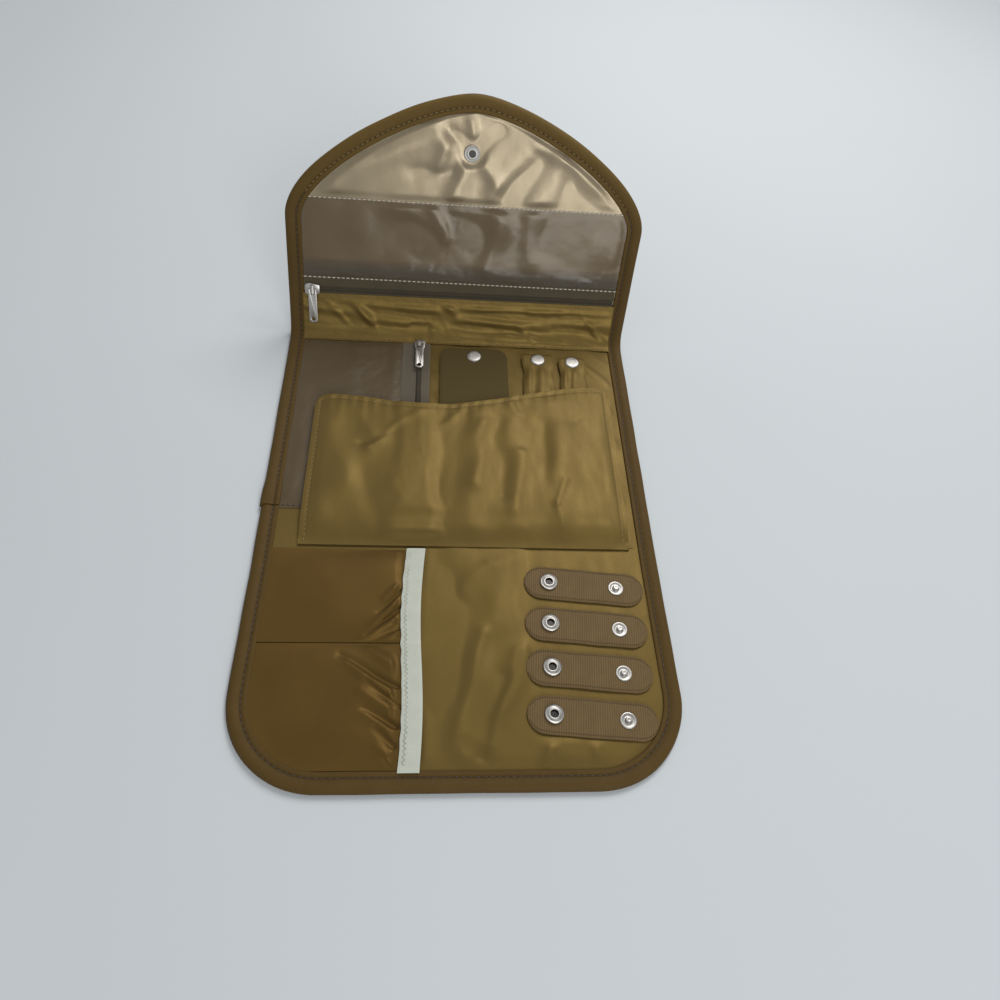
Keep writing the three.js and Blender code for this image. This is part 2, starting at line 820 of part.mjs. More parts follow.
function ringStrap(index) {
  const group = new THREE.Group();
  group.position.set(
    ringSocketX + ringStrapShift * index,
    lowerFoldY - ringSocketInset - ringStrapPitch * index,
    0,
  );
  group.rotation.z = rad(ringStrapTilt);
  const half = ringStrapWidth / 2;
  const hole = snapNeckRadius + snapClearance;
  const free = roundedRectangle(-ringStrapEndLeft, ringHalf - layerGap / 2, -half, half, [half, 0, 0, half]);
  free.holes.push(roundHole(0, 0, hole));
  const fixed = roundedRectangle(ringHalf + layerGap / 2, ringSnapSpacing + ringStrapEndRight,
    -half, half, [0, half, half, 0]);
  fixed.holes.push(roundHole(ringSnapSpacing, 0, hole));
  const number = index + 1;
  group.add(
    piece(`ring_strap_${number}`, plate(fixed, strapLow, strapHigh), 'strap'),
    piece(`ring_strap_flap_${number}`, plate(free, strapLow, strapHigh), 'strap'),
    piece(`ring_snap_socket_${number}`, ringSocket(strapLow, strapHigh), 'metal'),
    piece(`ring_snap_stud_${number}`,
      ringStud(strapLow, strapHigh).translate(ringSnapSpacing, 0, 0), 'metal'),
  );
  return group;
}

// Where the flap's snap comes down on the folded bottom panel, laid back flat
function closureStudY() {
  const turn = rad(180 + flapPressDown);
  const reach = upperFoldRadius - closureSocketHeight;
  const closedY = upperAxisY + closureHeight * Math.cos(turn) + reach * Math.sin(turn);
  return 2 * lowerFoldY - closedY;
}

function bottomPanel() {
  const group = new THREE.Group();
  const edge = bottomEdge();
  const studX = skewAt(closureHeight);
  const studY = closureStudY();
  const recessTop = underside + closureRecessDepth;
  const shell = cut(
    shellPlate(insetOutline(edge, shellEdgeInset), insetOutline(edge, faceInset)),
    disc(closureRecessRadius, underside - cutReach, recessTop).translate(studX, studY, 0),
  );
  const stud = snapStud(closureNubHeight).rotateX(Math.PI)
    .translate(studX, studY, recessTop - closureStudSeat);
  const pocketTop = lowerFoldY - pocketTopInset;
  const pocketSeam = lowerFoldY - pocketSeamInset;
  const pocketEnd = lowerFoldY - bottomLength + faceInset + layerGap;
  group.add(
    piece('bottom_shell', shell, 'leather'),
    piece('bottom_lining', plate(insetOutline(edge, liningInset), -liningThickness, 0), 'satin'),
    piece('bottom_binding', binding(edge), 'binding'),
    piece('closure_stud', stud, 'metal'),
    piece('upper_gathered_pocket', gatheredPocket(pocketTop, pocketSeam + layerGap), 'taffeta'),
    piece('lower_gathered_pocket', gatheredPocket(pocketSeam - layerGap, pocketEnd), 'taffeta'),
    piece('elastic_band', elasticBand(pocketTop, pocketSeam, pocketEnd), 'elastic'),
  );
  for (let index = 0; index < ringStrapCount; index += 1) {
    group.add(ringStrap(index));
  }
  return group;
}

// Flap, in a group turned about the upper fold's axis; y runs up the flap

// The part of the flap's face, inset from its edge, above the height lowY
function envelopePart(edge, inset, lowY) {
  const points = edge.map(({ point, inward }) => point.clone().addScaledVector(inward, inset));
  const kept = points.filter((p) => p.y > lowY);
  const above = points.indexOf(kept[0]);
  const below = points[above - 1];
  const share = (lowY - below.y) / (kept[0].y - below.y);
  const leftX = THREE.MathUtils.lerp(below.x, kept[0].x, share);
  return shapeFrom([
    new THREE.Vector2(leftX, lowY), ...kept, new THREE.Vector2(2 * skewAt(lowY) - leftX, lowY),
  ]);
}

function flapPanel() {
  const group = new THREE.Group();
  const edge = flapEdge();
  const coilHalf = coilWidth / 2 + layerGap;
  const tapeLow = flapZipperHeight - coilHalf - flapTapeWidth;
  const tapeHigh = flapZipperHeight + coilHalf + flapTapeWidth;
  const inner = bindingInnerX - 2 * layerGap;
  const snapX = skewAt(closureHeight);
  const ringHole = roundHole(snapX, closureHeight, snapRadius + snapClearance);
  const neckHole = snapNeckRadius + snapClearance;
  const window = envelopePart(edge, faceInset, tapeHigh + layerGap);
  window.holes.push(ringHole);
  const drill = disc(neckHole, underside - cutReach, cutReach).translate(snapX, closureHeight, 0);
  const shell = cut(
    shellPlate(insetOutline(edge, shellEdgeInset), insetOutline(edge, faceInset)),
    drill,
  );
  const lining = cut(plate(insetOutline(edge, liningInset), -liningThickness, 0), drill);
  const capSeat = underside - layerGap;
  const snap = turned([
    ...capDome(capSeat, -1),
    [snapNeckRadius, capSeat],
    [snapNeckRadius, layerGap],
    ...socketRing(layerGap, closureSocketHeight, layerGap * 2),
  ]);
  const zipperX = skewAt(flapZipperHeight);
  const sliderX = zipperX - inner + sliderLength / 2;
  const strip = (low, high, thickness) => (
    block(-inner, inner, low, high, layerGap, layerGap + thickness)
      .translate(skewAt((low + high) / 2), 0, 0)
  );
  group.add(
    piece('flap_shell', shell, 'leather'),
    piece('flap_lining', lining, 'silverSatin'),
    piece('flap_binding', binding(edge), 'binding'),
    piece('flap_vinyl_window', plate(window, layerGap, layerGap + vinylThickness), 'vinyl'),
    piece('flap_satin_strip', strip(layerGap, tapeLow - layerGap, satinStripThickness), 'satin'),
    piece('flap_zipper_tape_lower', strip(tapeLow, flapZipperHeight - coilHalf, tapeThickness), 'tape'),
    piece('flap_zipper_tape_upper', strip(flapZipperHeight + coilHalf, tapeHigh, tapeThickness), 'tape'),
    piece('flap_zipper_coil', zipperCoil(-inner, inner).rotateZ(-Math.PI / 2)
      .translate(zipperX, flapZipperHeight, 0), 'tape'),
    piece('closure_snap', snap.translate(snapX, closureHeight, 0), 'metal'),
    piece('flap_zipper_slider', zipperSlider(Math.PI / 2)
      .translate(sliderX, flapZipperHeight, 0), 'metal'),
    piece('flap_zipper_pull', zipperPull().translate(sliderX, flapZipperHeight, pullAxisHeight), 'metal'),
  );
  return group;
}

const organizer = new THREE.Group();
organizer.name = 'travel_jewelry_organizer';
const flat = new THREE.Group();
flat.position.z = panelThickness;
flat.add(middlePanel(), bottomPanel());
const flapHinge = new THREE.Group();
flapHinge.position.set(0, upperAxisY, panelThickness + upperFoldRadius);
flapHinge.rotation.x = rad(flapLean);
const flap = flapPanel();
flap.position.z = -upperFoldRadius;
flapHinge.add(flap);
organizer.add(flat, flapHinge);

export default organizer;
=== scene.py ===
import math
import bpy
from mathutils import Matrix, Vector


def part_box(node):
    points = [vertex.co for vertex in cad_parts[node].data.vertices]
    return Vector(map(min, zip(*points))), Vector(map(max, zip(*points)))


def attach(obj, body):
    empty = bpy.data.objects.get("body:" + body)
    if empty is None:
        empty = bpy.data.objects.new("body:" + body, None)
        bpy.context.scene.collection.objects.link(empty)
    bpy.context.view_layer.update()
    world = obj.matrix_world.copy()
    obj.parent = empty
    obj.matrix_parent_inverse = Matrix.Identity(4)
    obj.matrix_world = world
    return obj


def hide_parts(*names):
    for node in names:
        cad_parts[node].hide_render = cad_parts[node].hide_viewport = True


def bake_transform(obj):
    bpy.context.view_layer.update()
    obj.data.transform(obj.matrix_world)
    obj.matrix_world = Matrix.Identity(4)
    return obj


bl_info = {
    "name": "Travel jewelry organizer",
    "version": (1, 0, 0),
    "blender": (4, 5, 0),
    "location": "3D View > Sidebar > Organizer",
    "description": "Dresses the packed jewelry organizer in satin, leatherette, vinyl and nickel",
    "category": "Object",
}

import bmesh
import bpy
import numpy as np
from bpy.props import FloatProperty, FloatVectorProperty, IntProperty, PointerProperty
from mathutils import Matrix, Vector

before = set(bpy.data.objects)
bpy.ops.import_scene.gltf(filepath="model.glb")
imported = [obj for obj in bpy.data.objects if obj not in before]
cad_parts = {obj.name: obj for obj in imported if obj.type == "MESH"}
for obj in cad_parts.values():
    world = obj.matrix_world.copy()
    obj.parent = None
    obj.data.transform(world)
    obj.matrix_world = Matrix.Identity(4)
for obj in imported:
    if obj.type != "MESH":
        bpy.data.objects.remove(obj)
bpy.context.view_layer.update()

# Lengths are written in millimetres, as on the cutting plan, and become metres in a mesh.
MM = 0.001

# The case lies opened along s: the bottom panel, the lower fold, the middle panel, the spine
# and the flap. x runs across it, and h is the height over the linings' face. On the flap, v is
# the length up from its foot.
FACE = 3.0
UNDERSIDE = -3.0
FOLD_Y = 83.0016
FOLD_RADIUS = 12.0
LEAN = math.radians(64)
FLAP_START = FOLD_Y + FOLD_RADIUS * LEAN
LOWER_FOLD_Y = -85.5
SHELL_SPLIT_S = -40.0
HALF_WIDTH = 116.0
BOTTOM_END = -216.5
CORNER_RADIUS = 49.0
CORNER_X = 68.0
SHOULDER = (117.2, 68.5)
TIP_HEIGHT = 144.7
SHOULDER_PULL = 33.5
TIP_PULL = 34.5
SKEW = 4.5 / TIP_HEIGHT

# How far in from the case's edge things lie: the binding's inner edge and its seam, the edges
# of the cloths under it, and the ends of the seams across the case
BINDING_WIDTH = 10.3
BINDING_SEAM = 7.3
LINING_INSET = 9.0
SHELL_INSET = 9.2
SHEET_INSET = 9.6
SEAM_INSET = 9.8

# Where one length of binding starts and the other ends, and from where gold thread holds it
BINDING_END_S = -54.5
GOLD_THREAD_V = 86.0

# Where cloth passes from one panel to the next: two bodies and the two ends of the blend. At the
# lower fold it goes from the panel that moves. Only whether a piece has a blend is read: such a
# piece stays where it is made.
LOWER = ("bottom_panel", "middle_panel", (0, -0.0915, 0.003), (0, -0.0795, 0.003))
UPPER = ("middle_panel", "flap", (0, 0.083, 0.003), (0, 0.09379, 0.00974))

# Zippers, with the room between one layer and the next
FLAP_ZIPPER_V = 22.4
FLAP_TAPE = 6.5
COIL_WIDTH = 3.6
COIL_HEIGHT = 1.5
COIL_PITCH = 1.3
SIDE_ZIPPER_X = -27.2
SIDE_ZIPPER_LENGTH = 139.0
SIDE_TAPES = (9.3, 5.6)
GAP = 0.3
INNER_X = 105.1

# The flap's window: the seams across it, and how far up from the flap's foot shade is painted on
# the window above the zipper
WINDOW_SEAMS = (80.5, 30.2)
WINDOW_SHADE_V = 39.0

# Seams: the length of a stitch, the space to the next and the thread's radius
WINDOW_STITCH = (2.3, 0.8, 0.32)
STRIP_STITCH = (1.9, 1.1, 0.19)
TAPE_STITCH = (1.9, 1.1, 0.17)
POCKET_STITCH = (2.0, 1.0, 0.2)
HEM_STITCH = (1.9, 1.2, 0.18)

# Snaps and ring straps
CLOSURE_V = 111.4
CLOSURE_X = SKEW * CLOSURE_V
RING_STRAPS = 4
RING_TILT = math.radians(-4.9)
RING_SPACING = 38.3
RING_HALF_WIDTH = 10.0
RING_ENDS = (14.0, 16.0)
STRAP_LOW = 0.6
STRAP_TOP = 1.8

# The earring board and the necklace straps: their measures, then the CAD node and the body of
# the free end, and the snap with its CAD nodes
TAB_LIFT = 2.2
TAB_THICKNESS = 1.0
TAB_TOP = TAB_LIFT + TAB_THICKNESS
STRIP_START_S = LOWER_FOLD_Y + 13.5
STRIPS = {
    "earring_board": dict(
        x=10.0, width=46.0, top=76.8, hinge=34.5, snap=69.6, corner=8.0,
        tab="earring_board_tab", body="earring_tab", snap_name="earring_snap",
        snap_nodes=("earring_snap_cap", "earring_snap_stud"),
    ),
    "necklace_strap_left": dict(
        x=54.2, width=22.0, top=74.4, hinge=41.5, snap=68.8, corner=3.0,
        tab="necklace_tab_left", body="necklace_tab_left", snap_name="necklace_snap_left",
        snap_nodes=("necklace_snap_cap_left", "necklace_snap_stud_left"),
    ),
    "necklace_strap_right": dict(
        x=78.2, width=19.0, top=72.2, hinge=45.5, snap=67.6, corner=3.0,
        tab="necklace_tab_right", body="necklace_tab_right", snap_name="necklace_snap_right",
        snap_nodes=("necklace_snap_cap_right", "necklace_snap_stud_right"),
    ),
}

# Gathered pockets and the elastic over their mouths
MOUTH_X = -30.0
POCKET_SEAM_S = -140.5
POCKET_TOP_S = -83.5
POCKET_END_S = -205.9
ELASTIC_LEFT = -30.7
ELASTIC_WIDTH = 10.5

# Cover flap: its left and right edges, its sewn hem and the seam round its free edges
COVER = (-92.0, 100.0)
COVER_HEM_S = -81.0
HEM_INSET = 3.2
HEM_CORNER = 6.0

# Points round a turned piece, and the scale at which the cloth is settled, in metres
TURN_STEPS = 48
SETTLING_SCALE = 10 * MM

# The photograph's camera: yaw, pitch and roll in degrees, and its place in millimetres
CAMERA_ANGLES = (9.582, 55.596, 9.308)
CAMERA_PLACE = (-18.294, -300.589, 378.634)
CAMERA_LENS = 27.0

FLOOR_SIZE = 3000.0
FLOOR_DROP = 0.00005


def hex_colour(code):
    """A colour written as six hex digits, as Blender's linear red, green and blue."""
    values = [int(code[i:i + 2], 16) / 255 for i in (0, 2, 4)]
    return tuple(v / 12.92 if v <= 0.04045 else ((v + 0.055) / 1.055) ** 2.4 for v in values)


def colour_property(name, description, code):
    return FloatVectorProperty(
        name=name, description=description, default=hex_colour(code),
        subtype="COLOR", size=3, min=0.0, max=1.0,
    )


def length_property(name, description, millimetres):
    return FloatProperty(
        name=name, description=description, default=millimetres * MM,
        unit="LENGTH", subtype="DISTANCE", min=0.0,
    )


class OrganizerColours(bpy.types.PropertyGroup):
    """Colours of the organizer's cloths, leatherette and trims."""

    leatherette: colour_property("Leatherette", "Outer cover and edge binding", "56421e")
    satin: colour_property("Satin", "Linings, cover flap and strip", "68562f")
    taffeta: colour_property("Taffeta", "Gathered pockets", "5d4825")
    silver_satin: colour_property("Silver satin", "Backing of the flap's window", "a89a80")
    vinyl: colour_property("Pocket vinyl", "Clear sheet of the middle panel's pocket", "685840")
    window: colour_property("Window vinyl", "Clear sheet of the flap's window", "77644a")
    tape: colour_property("Zipper tape", "Zipper tapes and coils", "4c432c")
    side_tape: colour_property("Pocket zipper tape", "Tapes of the middle panel's zipper", "5d5444")
    board: colour_property("Earring board", "Cloth of the earring board", "4e411f")
    strap: colour_property("Ring strap", "Ribbed leatherette of the ring straps", "705a37")
    elastic: colour_property("Elastic", "Band over the pocket mouths", "c9ccbe")
    dark_thread: colour_property("Dark thread", "Stitches of the binding", "3a2a18")
    gold_thread: colour_property("Gold thread", "Stitches of the satin pieces", "8d7440")
    cream_thread: colour_property("Cream thread", "Stitches across the flap's window", "e0d8c6")
    nickel: colour_property("Nickel", "Snaps, sliders and pulls", "a9a6a1")
    floor: colour_property("Floor", "Table top under the organizer", "d3d8db")


class OrganizerSizes(bpy.types.PropertyGroup):
    """Sizes of the stitches, folds and weaves."""

    stitch: length_property("Stitch", "Length of one binding stitch", 2.3)
    stitch_gap: length_property("Stitch gap", "Space between two stitches", 1.2)
    stitch_inset: length_property("Stitch inset", "From the binding's inner edge to its seam", 3.0)
    thread: length_property("Thread", "Radius of the sewing thread", 0.26)
    weave: length_property("Weave", "Pitch of the satin's threads", 0.4)
    lining_wave: length_property("Lining wave", "Height of the lining's soft waves", 0.9)
    crumple: length_property("Crumple", "Height of the folds behind the flap's window", 1.1)
    gather: length_property("Gather", "Height of the folds at the pocket mouths", 1.9)
    settle_frames: IntProperty(
        name="Settling steps", description="Steps of each cloth simulation",
        default=24, min=1, max=200,
    )


# Points and curves


def on_case(x, s, h):
    """Points of the opened case, in millimetres: across at x, along at s, h over the lining."""
    x, s, h = np.broadcast_arrays(*(np.asarray(value, float) for value in (x, s, h)))
    angle = np.clip((s - FOLD_Y) / FOLD_RADIUS, 0, LEAN)
    radius = FOLD_RADIUS - h
    beyond = np.maximum(s - FLAP_START, 0)
    y = np.minimum(s, FOLD_Y) + radius * np.sin(angle) + beyond * math.cos(LEAN)
    z = FACE + FOLD_RADIUS - radius * np.cos(angle) + beyond * math.sin(LEAN)
    return np.stack([x, y, z], axis=-1)


def flap_x(s):
    """How far the flap leans to the right at s."""
    return SKEW * np.maximum(s - FLAP_START, 0)


def lengths_along(points):
    """The length along a line at each of its points."""
    return np.r_[0, np.cumsum(np.linalg.norm(np.diff(points, axis=0), axis=1))]


def points_at(wanted, along, points):
    """Points of a line at the wanted lengths. along gives the length at each of its points."""
    return np.stack([np.interp(wanted, along, column) for column in points.T], axis=-1)


def even(points, step):
    """The same line with its points spaced evenly."""
    along = lengths_along(points)
    count = max(int(round(along[-1] / step)), 2)
    return points_at(np.linspace(0, along[-1], count + 1), along, points)


def smooth(t):
    """A soft step from 0 to 1 as t goes from 0 to 1."""
    t = np.clip(t, 0, 1)
    return t * t * (3 - 2 * t)


def waves(x, y, length, seed):
    """Soft random waves about length long, from about -1 to 1, the same on every run."""
    random = np.random.RandomState(seed)
    count = 14
    angle = random.uniform(0, math.pi, count)
    number = 2 * math.pi / (length * random.uniform(0.7, 1.5, count))
    phase = random.uniform(0, 2 * math.pi, count)
    total = sum(
        np.sin(number[i] * (x * np.cos(angle[i]) + y * np.sin(angle[i])) + phase[i])
        for i in range(count)
    )
    return total / math.sqrt(count) * 0.8


def folds(x, s, lines, fade=0.0, wander=2.0, seed=7):
    """Height of a cloth's folds. Each line runs from x, s to x, s and has a half width and a
    height. With fade, a fold is highest where it starts."""
    wandered_x = x + wander * waves(x, s, 40, seed)
    wandered_s = s + wander * waves(x, s, 40, seed + 1)
    total = np.zeros_like(x)
    for x0, s0, x1, s1, width, height in lines:
        run_x, run_s = x1 - x0, s1 - s0
        t = ((wandered_x - x0) * run_x + (wandered_s - s0) * run_s) / (run_x ** 2 + run_s ** 2)
        t = np.clip(t, 0, 1)
        away = np.hypot(wandered_x - x0 - t * run_x, wandered_s - s0 - t * run_s)
        total += height * (1 - fade * t ** 1.5) * np.exp(-(away / width / 1.15) ** 1.8)
    return total


# Folds seen in the photograph: from x, s to x, s, half width and height. The flap's are
# measured up the flap from its foot.
FLAP_FOLDS = (
    (-21, 120, -81, 91, 8, 1.2), (-15, 114, -18, 103, 5, 1.3), (-31, 98, -9, 100, 4, -0.7),
    (8, 116, -12, 124, 4, -1.0), (2, 131, 4, 120, 3, 0.7), (9, 119, 19, 125, 5, -0.8),
    (1, 106, -6, 85, 5, 1.0), (12, 105, 21, 92, 4, 0.9), (37, 113, 18, 88, 6, 1.0),
    (44, 114, 31, 87, 7, -1.2), (59, 108, 57, 87, 10, 0.8), (44, 120, 94, 96, 5, 1.0),
    (71, 101, 65, 84, 8, -0.8), (-20, 78, -14, 60, 4, 1.0), (-44, 77, -20, 67, 6, 0.7),
    (-35, 61, -21, 53, 9, -1.0), (-6, 67, 15, 55, 12, -0.8), (-4, 80, 19, 75, 6, 0.6),
    (24, 72, 16, 42, 5, 0.9), (57, 74, 55, 57, 6, -0.7), (44, 80, 44, 47, 6, 0.6),
    (78, 72, 75, 57, 13, -0.8), (103, 73, 104, 50, 4, 0.6),
)
COVER_FOLDS = (
    (-82, 3, -69, -37, 7, 1.0), (-62, 12, -50, -4, 5, 0.6), (-88, -20, -80, -60, 6, 0.5),
    (-60, -35, -46, -66, 6, -0.6), (-27, 16, -55, -13, 3, 0.9), (-30, 5, -59, -9, 3, -0.8),
    (-25, 22, -25, -16, 3, 0.8), (-13, -7, -16, -62, 9, -1.2), (-38, -40, -25, -62, 4, 0.5),
    (-14, 5, 0, 21, 3, 0.7), (3, 15, -3, -51, 6, -0.6), (15, 7, 9, -39, 4.5, 1.1),
    (25, 11, 25, -46, 4.5, -1.1), (38, -14, 34, -57, 4.5, 1.0), (53, 8, 53, -33, 5, -1.2),
    (69, 2, 64, -21, 8, 1.0), (76, 16, 74, 11, 4, -0.8), (33, 27, 36, 16, 3, 0.8),
    (76, -37, 68, -67, 9, -0.7), (66, -32, 59, -53, 1.8, 0.6), (59, -53, 60, -68, 1.8, 0.5),
    (-15, -78, 38, -68, 6, 0.7), (91, -3, 90, -74, 4, 0.4),
)
# The cover flap's broad tilted bands: x and height.
COVER_BROAD_FOLDS = (
    (-95, 0), (-80, 0.9), (-62, 0.2), (-42, 0.8), (-24, 0.3), (-18, -0.5), (9, 1.4), (23, -0.2),
    (33, 0.6), (44, -0.4), (61, 1.0), (84, -0.5), (95, 0),
)
LINING_FOLDS = (
    (27, -90, 17, -125, 7, 0.6), (12, -134, 0, -187, 4.5, 0.8), (33, -147, 14, -193, 5, 0.9),
    (23, -159, 10, -199, 4, -0.5), (-7, -110, -7, -164, 12, -0.6), (-2, -194, 4, -205, 4, 0.5),
    (18, -92, 4, -108, 5, 0.5), (45, -196, 43, -205, 3, 0.6), (69, -195, 68, -205, 3, 0.5),
    (109, -95, 103, -121, 2.5, 0.6),
)
UPPER_POCKET_FOLDS = (
    (-30, -105, -42, -116, 1.7, 1.0), (-31, -115, -46, -130, 2.1, 1.3),
    (-32, -128, -52, -138, 2.3, 1.4), (-33, -136, -43, -138, 1.6, 0.8),
    (-32, -111, -44, -123, 1.5, -0.9), (-32, -121, -49, -135, 1.5, -1.0),
    (-32, -133, -46, -139, 1.5, -0.9), (-65, -111, -83, -130, 15, 0.6),
)
LOWER_POCKET_FOLDS = (
    (-31, -154, -46, -145, 3, 1.1), (-32, -164, -62, -148, 1.7, -1.2),
    (-32, -171, -58, -152, 2.6, 1.3), (-32, -175, -48, -161, 1.6, -1.1),
    (-33, -180, -51, -167, 2.6, 1.1), (-33, -186, -49, -176, 1.6, -1.1),
    (-32, -191, -47, -180, 2.2, 0.9), (-32, -196, -43, -186, 1.5, -0.9),
    (-32, -202, -40, -196, 2.2, 0.8), (-32, -206, -36, -202, 1.4, -0.7),
    (-55, -174, -64, -195, 10, 0.5),
)


def case_outline():
    """The case's edge from the left overlap down, round the bottom, up the right and back."""
    corner_y = BOTTOM_END + CORNER_RADIUS
    turn = np.linspace(0, math.pi / 2, 24)
    left_arc = np.stack([
        -CORNER_X - CORNER_RADIUS * np.cos(turn), corner_y - CORNER_RADIUS * np.sin(turn),
    ], axis=-1)
    t = np.linspace(0, 1, 50)[:, None]
    start, tip = np.array(SHOULDER), np.array([0, TIP_HEIGHT])
    rise = start + [0, SHOULDER_PULL]
    level = np.array([TIP_PULL, TIP_HEIGHT])
    curve = (1 - t) ** 3 * start + 3 * (1 - t) ** 2 * t * rise
    curve += 3 * (1 - t) * t ** 2 * level + t ** 3 * tip
    right_flap = curve + [0, FLAP_START]
    mirror = np.array([-1, 1])
    lower_left = np.array([[-HALF_WIDTH, BINDING_END_S], [-HALF_WIDTH, -91.8], [-116.5, -129.7]])
    half = np.vstack([lower_left, left_arc])
    whole = np.vstack([
        half, half[::-1] * mirror,
        [[HALF_WIDTH, FLAP_START]], right_flap, right_flap[::-1][1:] * mirror,
        [[-HALF_WIDTH, FLAP_START], [-HALF_WIDTH, BINDING_END_S]],
    ])
    whole[:, 0] += flap_x(whole[:, 1])
    return even(whole, 1.6)


OUTLINE = case_outline()


def inward(path):
    """Unit directions into the case for a path that goes round it anticlockwise."""
    along = np.gradient(path, axis=0)
    along = np.stack([
        np.convolve(np.pad(column, 3, mode="edge"), np.ones(7) / 7, "valid") for column in along.T
    ], axis=-1)
    along /= np.linalg.norm(along, axis=1)[:, None]
    return np.stack([-along[:, 1], along[:, 0]], axis=-1)


def moved_in(inset):
    """The case's outline, moved in by inset."""
    return OUTLINE + inward(OUTLINE) * inset


def dense_at_folds(path, into):
    """A path and its inward directions with more points where the case folds."""
    places = []
    for i, s in enumerate((path[1:, 1] + path[:-1, 1]) / 2):
        folds_here = abs(s - LOWER_FOLD_Y) < 8 or FOLD_Y - 2 < s < FLAP_START + 2
        places += [i, i + 0.25, i + 0.5, i + 0.75] if folds_here else [i]
    places.append(len(path) - 1)
    return [points_at(places, np.arange(len(path)), line) for line in (path, into)]


def binding_end(path):
    """Which point of a path round the case is where the upper length of binding starts."""
    return int(np.argmin(np.hypot(path[:, 0] - HALF_WIDTH, path[:, 1] - BINDING_END_S)))


def tip_along():
    """Length of the upper binding from its right end to the flap's tip."""
    upper = OUTLINE[binding_end(OUTLINE):]
    return float(lengths_along(upper)[np.argmax(upper[:, 1])])


def sides(s, inset):
    """The x of the case's left and right edges, moved in by inset, at the lengths s."""
    path = moved_in(inset)
    tip = int(np.argmax(path[:, 1]))
    foot = int(np.argmin(np.abs(path[:, 0]) + 1000 * (path[:, 1] > -200)))
    right = path[foot:tip + 1]
    left = np.vstack([path[tip:], path[:foot + 1]])[::-1]
    found = []
    for line in (left, right):
        rising = np.maximum.accumulate(line[:, 1]) + np.arange(len(line)) * 1e-6
        found.append(np.interp(s, rising, line[:, 0]))
    return found


def s_limits(inset):
    """The first and last s of the case, moved in by inset."""
    s = moved_in(inset)[:, 1]
    return s.min() + 0.02, s.max() - 0.1


def grid_across(rows, left, right, columns):
    """Grids of x and s at the lengths rows, with x in even steps from left to right."""
    x = left[:, None] + (right - left)[:, None] * np.linspace(0, 1, columns)
    return x, rows[:, None] + 0 * x


def grid_of_case(rows, inset, columns):
    """Grids of x and s between the case's edges, moved in by inset, and how far each of the
    points is from the left and from the right edge."""
    left, right = sides(rows, inset)
    x, s = grid_across(rows, left, right, columns)
    return x, s, x - left[:, None], right[:, None] - x


def line_across(s, count):
    """The x of a seam's points across the case at s."""
    left, right = sides(np.array([s]), SEAM_INSET)
    return np.linspace(left[0], right[0], count)


# Meshes


FINISHES = {}


def set_all(target, **values):
    """Sets several properties of one thing."""
    for key, value in values.items():
        setattr(target, key, value)


def new_object(name, data):
    """An object in the scene's own collection."""
    made = bpy.data.objects.new(name, data)
    bpy.context.scene.collection.objects.link(made)
    return made


def new_piece(name, points, faces, finish, lay=None, sharp=40):
    """A smooth-shaded object from points in millimetres. lay is where each point is on the
    cloth, and sharp the angle in degrees from which an edge stays crisp."""
    mesh = bpy.data.meshes.new(name)
    points = np.asarray(points, float).reshape(-1, 3)
    mesh.from_pydata((points * MM).tolist(), [], [list(map(int, f)) for f in faces])
    mesh.validate()
    bare = bmesh.new()
    bare.from_mesh(mesh)
    bmesh.ops.recalc_face_normals(bare, faces=bare.faces)
    bare.to_mesh(mesh)
    bare.free()
    lay = points if lay is None else np.asarray(lay, float)
    where = mesh.attributes.new("lay", "FLOAT_VECTOR", "POINT")
    where.data.foreach_set("vector", lay.astype(np.float32).ravel())
    mesh.shade_smooth()
    mesh.set_sharp_from_angle(angle=math.radians(sharp))
    mesh.materials.append(FINISHES[finish])
    return new_object(name, mesh)


def grid_quads(rows, columns, around=False):
    """Faces of a grid of points. With around, each row closes on itself."""
    last = columns if around else columns - 1
    i, j = (index.ravel() for index in np.meshgrid(range(rows - 1), range(last), indexing="ij"))
    here, beside = i * columns + j, i * columns + (j + 1) % columns
    return np.stack([here, beside, beside + columns, here + columns], -1)


def tube_faces(rings, steps, count=1):
    """Faces of count closed bodies, each with its rings of points one after another."""
    size = rings * steps
    one = grid_quads(rings, steps, around=True).tolist()
    one += [list(range(steps))[::-1], list(range(size - steps, size))]
    return [[point + k * size for point in face] for k in range(count) for face in one]


def flat_lay(x, s):
    """Where the points of a grid are on a cloth laid flat."""
    return np.stack([x, s, 0 * x], -1)


def sheet_between(name, top, under, finish, lay, sharp=40):
    """A closed sheet between two grids of points."""
    rows, columns = top.shape[:2]
    count = rows * columns
    upper = grid_quads(rows, columns)
    index = np.arange(count).reshape(rows, columns)
    rim = np.r_[index[0, :-1], index[:-1, -1], index[-1, :0:-1], index[:0:-1, 0]]
    after = np.roll(rim, -1)
    walls = np.stack([after, rim, rim + count, after + count], -1)
    faces = np.vstack([upper, upper[:, ::-1] + count, walls])
    return new_piece(name, [top, under], faces, finish, [lay, lay], sharp)


def slab(name, x, s, h, thickness, finish):
    """A closed sheet laid on the case: x, s and h are grids of its upper face."""
    top, under = on_case(x, s, h), on_case(x, s, h - thickness)
    return sheet_between(name, top, under, finish, flat_lay(x, s))


def grid_normals(grid):
    """Upward unit directions at the points of a grid."""
    across, along = np.gradient(grid, axis=1), np.gradient(grid, axis=0)
    normals = np.cross(across, along)
    return normals / np.linalg.norm(normals, axis=-1, keepdims=True)


